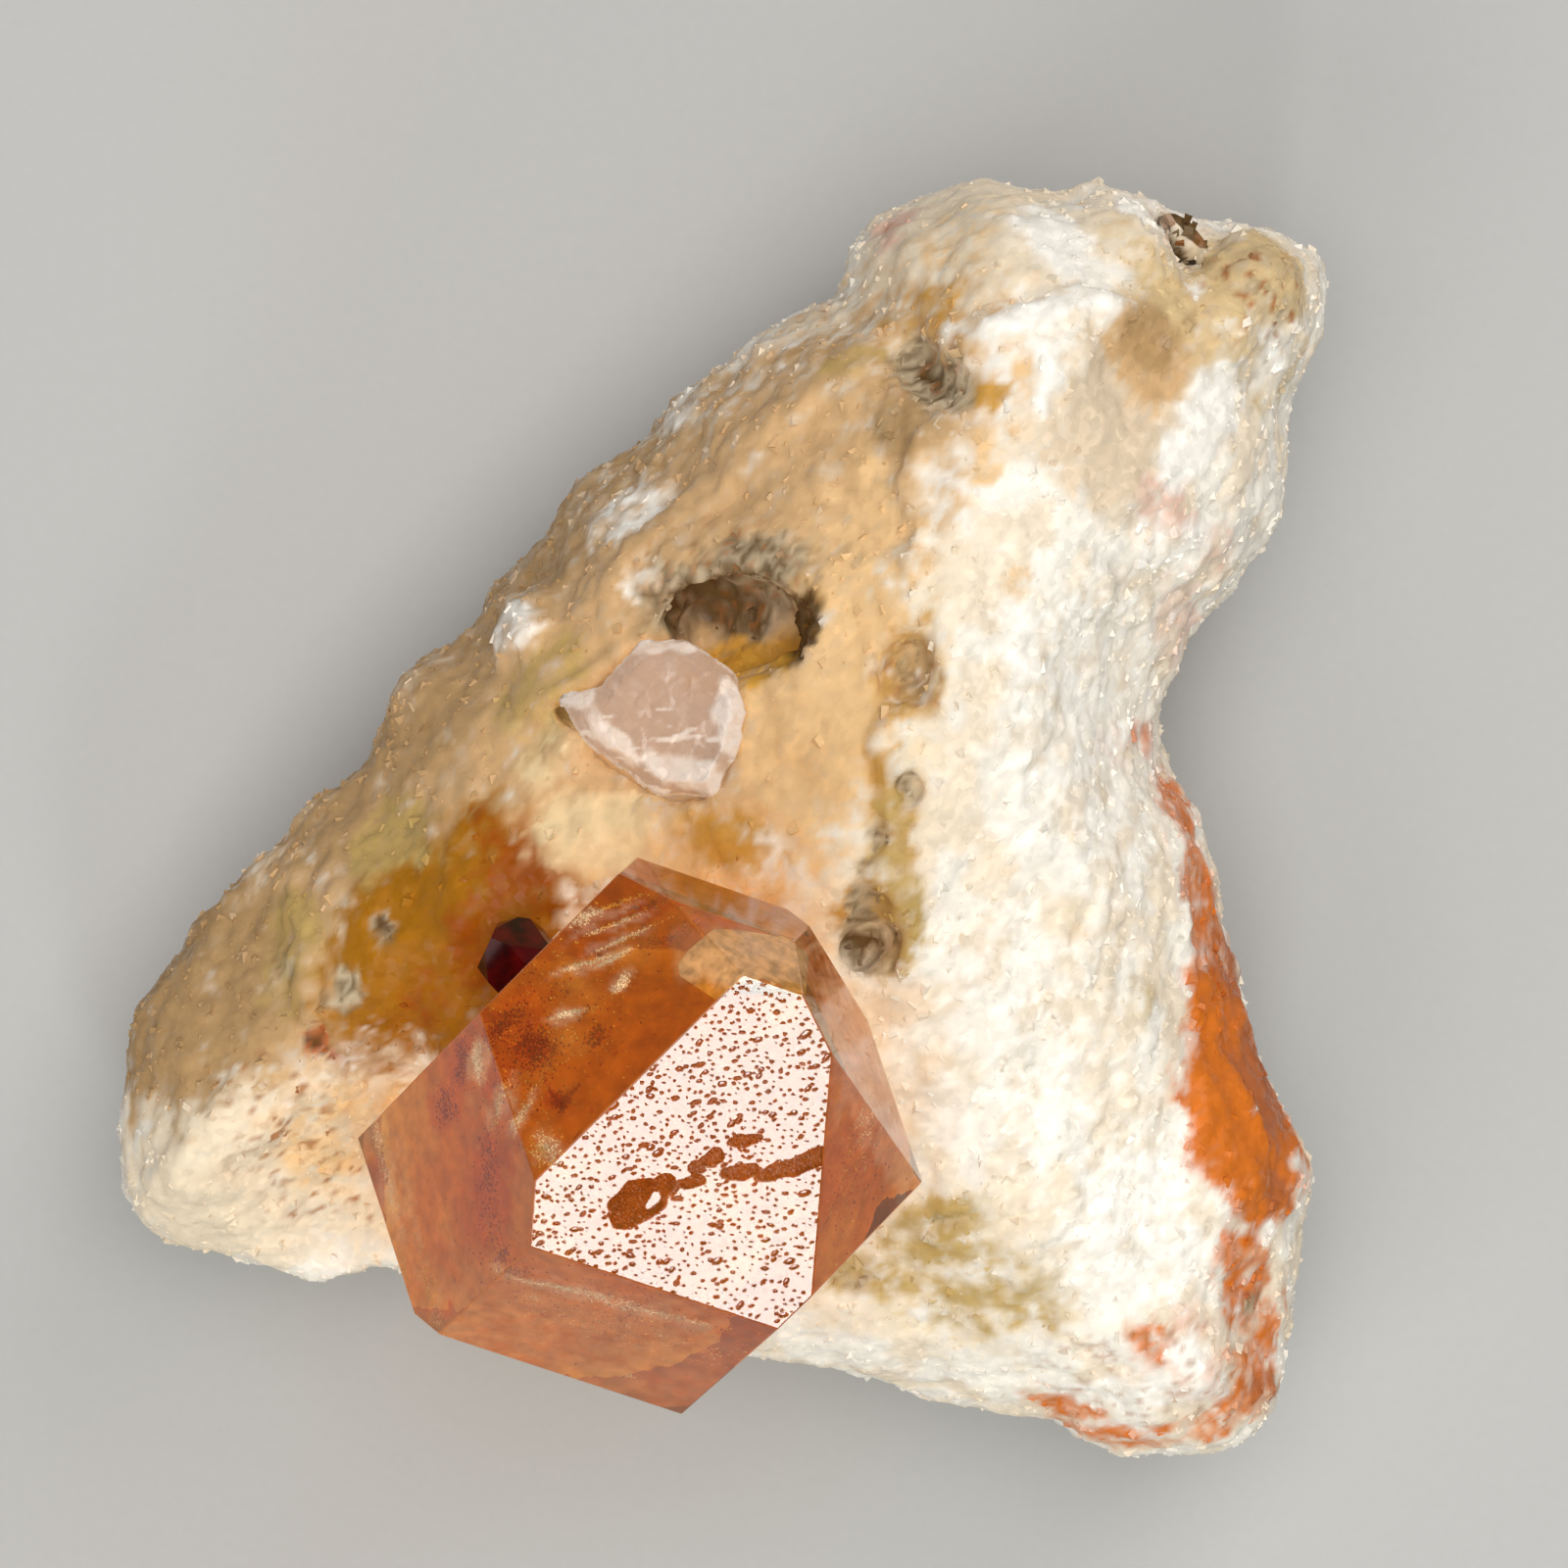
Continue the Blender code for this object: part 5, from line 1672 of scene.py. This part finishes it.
def clear_grain_mesh():
    solid = merged_copy("clear_quartz_grain")
    tree = BVHTree.FromBMesh(solid)
    mesh = even_mesh(solid, "clear grain", CLEAR_VOXEL, CLEAR_SMOOTH_TIMES)
    points = read_points(mesh)
    normals = read_normals(mesh)
    rim = np.clip(RIM_SLOPE - RIM_SLOPE * np.abs(normals[:, 2]), RIM_LEAST, 1.0)
    frost = spot_mask(points / MM + FROST_WARP_REACH * warp_noise(points, *FROST_WARP), tree, FROSTED)
    lines = share_between(fine_noise(points * np.array(LINE_STRETCH), *LINE_NOISE), *LINE_RANGE)
    lines = lines * (points[:, 1] < LINES_BELOW)
    white = np.maximum(np.maximum(frost, rim - RIM_FROST), LINE_STRENGTH * lines)
    white = share_between(white + FROST_BREAKUP * fine_noise(points, *FROST_NOISE), *FROST_RANGE)
    lump_height, *lumps = CLEAR_LUMPS
    chip_height, *chips = CHIPS
    relief = lump_height * soft_noise(points, *lumps) + chip_height * grain_relief(points, *chips)
    rough = np.maximum(rim, FROST_ROUGHNESS * frost)
    write_points(mesh, points + normals * (relief * rough)[:, None] * MM)
    store_mask(mesh, "rim", rough)
    store_colors(mesh, mixed(np.tile(CLEAR_MIDDLE, (len(points), 1)), FROST_COLOR, white))
    return mesh


clear_shape = clear_grain_mesh()
print("the clear grain has", len(clear_shape.vertices), "points")

# %% [markdown]
# The clear grain's finish is half transmission and half the stored frost. The rim is rougher and
# uses the same broken grains as the rock, so that it sparkles too.

# %% Clear quartz
RIM_RANGE = (0.1, 0.8)
CLEAR_ROUGHNESS = (0.08, 0.5)
CHIP_SIZE = 0.5
CHIP_BUMP = (0.9, 0.3)
FROSTED_CLEAR_SHARE = 0.45
CLEAR_SHADOW_TINT = (0.9, 0.88, 0.86)


def clear_quartz():
    material, nodes, links, shader = new_material("clear quartz")
    links.new(stored_color(nodes), shader.inputs["Base Color"])
    rim = add_node(nodes, "ShaderNodeAttribute", attribute_name="rim").outputs["Fac"]
    links.new(ramp(nodes, links, rim, *RIM_RANGE, *CLEAR_ROUGHNESS), shader.inputs["Roughness"])
    grains = grains_node(nodes, links, CHIP_SIZE)
    height = product(nodes, links, grains.outputs["Height"], rim)
    links.new(bump_node(nodes, links, height, *CHIP_BUMP), shader.inputs["Normal"])
    shader.inputs["IOR"].default_value = QUARTZ_INDEX
    shader.inputs["Transmission Weight"].default_value = FROSTED_CLEAR_SHARE
    let_light_in(nodes, links, shader, CLEAR_SHADOW_TINT)
    return material


CLEAR_QUARTZ = clear_quartz()
clear_grain = add_piece(clear_shape, "clear_grain", CLEAR_QUARTZ, "clear_quartz_grain")
clear_grain.data.shade_smooth()

# %% [markdown]
# The studio: a wide pale floor and a pale surround. The floor has a trace of paper fibre, so
# that it is a surface and not a blank. The surround lights from all sides and keeps shadows soft.

# %% Floor and surround
FLOOR_SIDE = 3.0
FLOOR_COLOR = (0.46, 0.455, 0.445)
FIBRE_SIZE = 0.6
FIBRE_DETAIL = 4.0
FIBRE_TINTS = (0.97, 1.03)
PAPER_ROUGHNESS = 0.9
SURROUND = (0.80, 0.80, 0.80, 1.0)
SURROUND_STRENGTH = 0.22


def add_floor():
    bm = bmesh.new()
    bmesh.ops.create_grid(bm, x_segments=2, y_segments=2, size=FLOOR_SIDE / 2.0)
    floor = bpy.data.objects.new("floor", mesh_from(bm, "floor"))
    bpy.context.scene.collection.objects.link(floor)
    material, nodes, links, shader = new_material("paper")
    tint = ramp(nodes, links, noise_lumps(nodes, links, FIBRE_SIZE, FIBRE_DETAIL), 0.0, 1.0, *FIBRE_TINTS)
    links.new(tinted(nodes, links, FLOOR_COLOR, tint), shader.inputs["Base Color"])
    shader.inputs["Roughness"].default_value = PAPER_ROUGHNESS
    floor.data.materials.append(material)


def add_surround():
    world = bpy.data.worlds.new("surround")
    bpy.context.scene.world = world
    world.use_nodes = True
    background = world.node_tree.nodes["Background"]
    background.inputs["Color"].default_value = SURROUND
    background.inputs["Strength"].default_value = SURROUND_STRENGTH


add_floor()
add_surround()
print("floor", FLOOR_SIDE, "m wide")

# %% [markdown]
# The key light is placed where the bright face mirrors it into the camera, so that the face
# shows white as a lit window does in a pane of glass. Its strength follows from how little of
# the light bare quartz mirrors. Two fill lights shine low across the lump from opposite sides,
# which brings out its grain, and a large weak light from above opens the shadows between.

# %% Lights
KEY_SIDE = 0.066
KEY_DISTANCE = 0.35
KEY_STRENGTH = 0.23
KEY_COLOR = (0.86, 0.95, 0.92)
FILL_SIDE = 0.4
FILL_COLOR = (1.0, 0.99, 0.97)
RIGHT_PLACE = Vector((0.30, 0.37, 0.42))
RIGHT_STRENGTH = 1.5
LEFT_PLACE = Vector((-0.26, -0.36, 0.42))
LEFT_STRENGTH = 1.3
TOP_SIDE = 0.7
TOP_PLACE = Vector((0.05, 0.05, 0.90))
TOP_STRENGTH = 5.0
MIDDLE = Vector((0.0, 0.0, 0.015))


def add_light(name, place, target, side, strength, color):
    light = bpy.data.objects.new(name, bpy.data.lights.new(name, "AREA"))
    bpy.context.scene.collection.objects.link(light)
    light.location = place
    light.rotation_euler = (target - place).to_track_quat("-Z", "Y").to_euler()
    light.data.size = side
    light.data.energy = strength
    light.data.color = color


def key_light_place():
    """Where a ray from the camera goes after the middle of the bright face mirrors it."""
    hit, normal = surface_point(CRYSTAL_TREE, *BRIGHT_PLACE)
    mirrored = view_ray(*BRIGHT_PLACE).reflect(normal)
    return hit + mirrored * KEY_DISTANCE, hit


key_place, key_target = key_light_place()
add_light("key", key_place, key_target, KEY_SIDE, KEY_STRENGTH, KEY_COLOR)
add_light("right fill", RIGHT_PLACE, MIDDLE, FILL_SIDE, RIGHT_STRENGTH, FILL_COLOR)
add_light("left fill", LEFT_PLACE, MIDDLE, FILL_SIDE, LEFT_STRENGTH, FILL_COLOR)
add_light("top", TOP_PLACE, MIDDLE, TOP_SIDE, TOP_STRENGTH, FILL_COLOR)
bpy.context.scene.view_settings.view_transform = "Standard"
print("key light at", [round(part, 3) for part in key_place])

# %% [markdown]
# The crystal's hull is freed, as nothing below needs it.

# %% The end
hull.free()
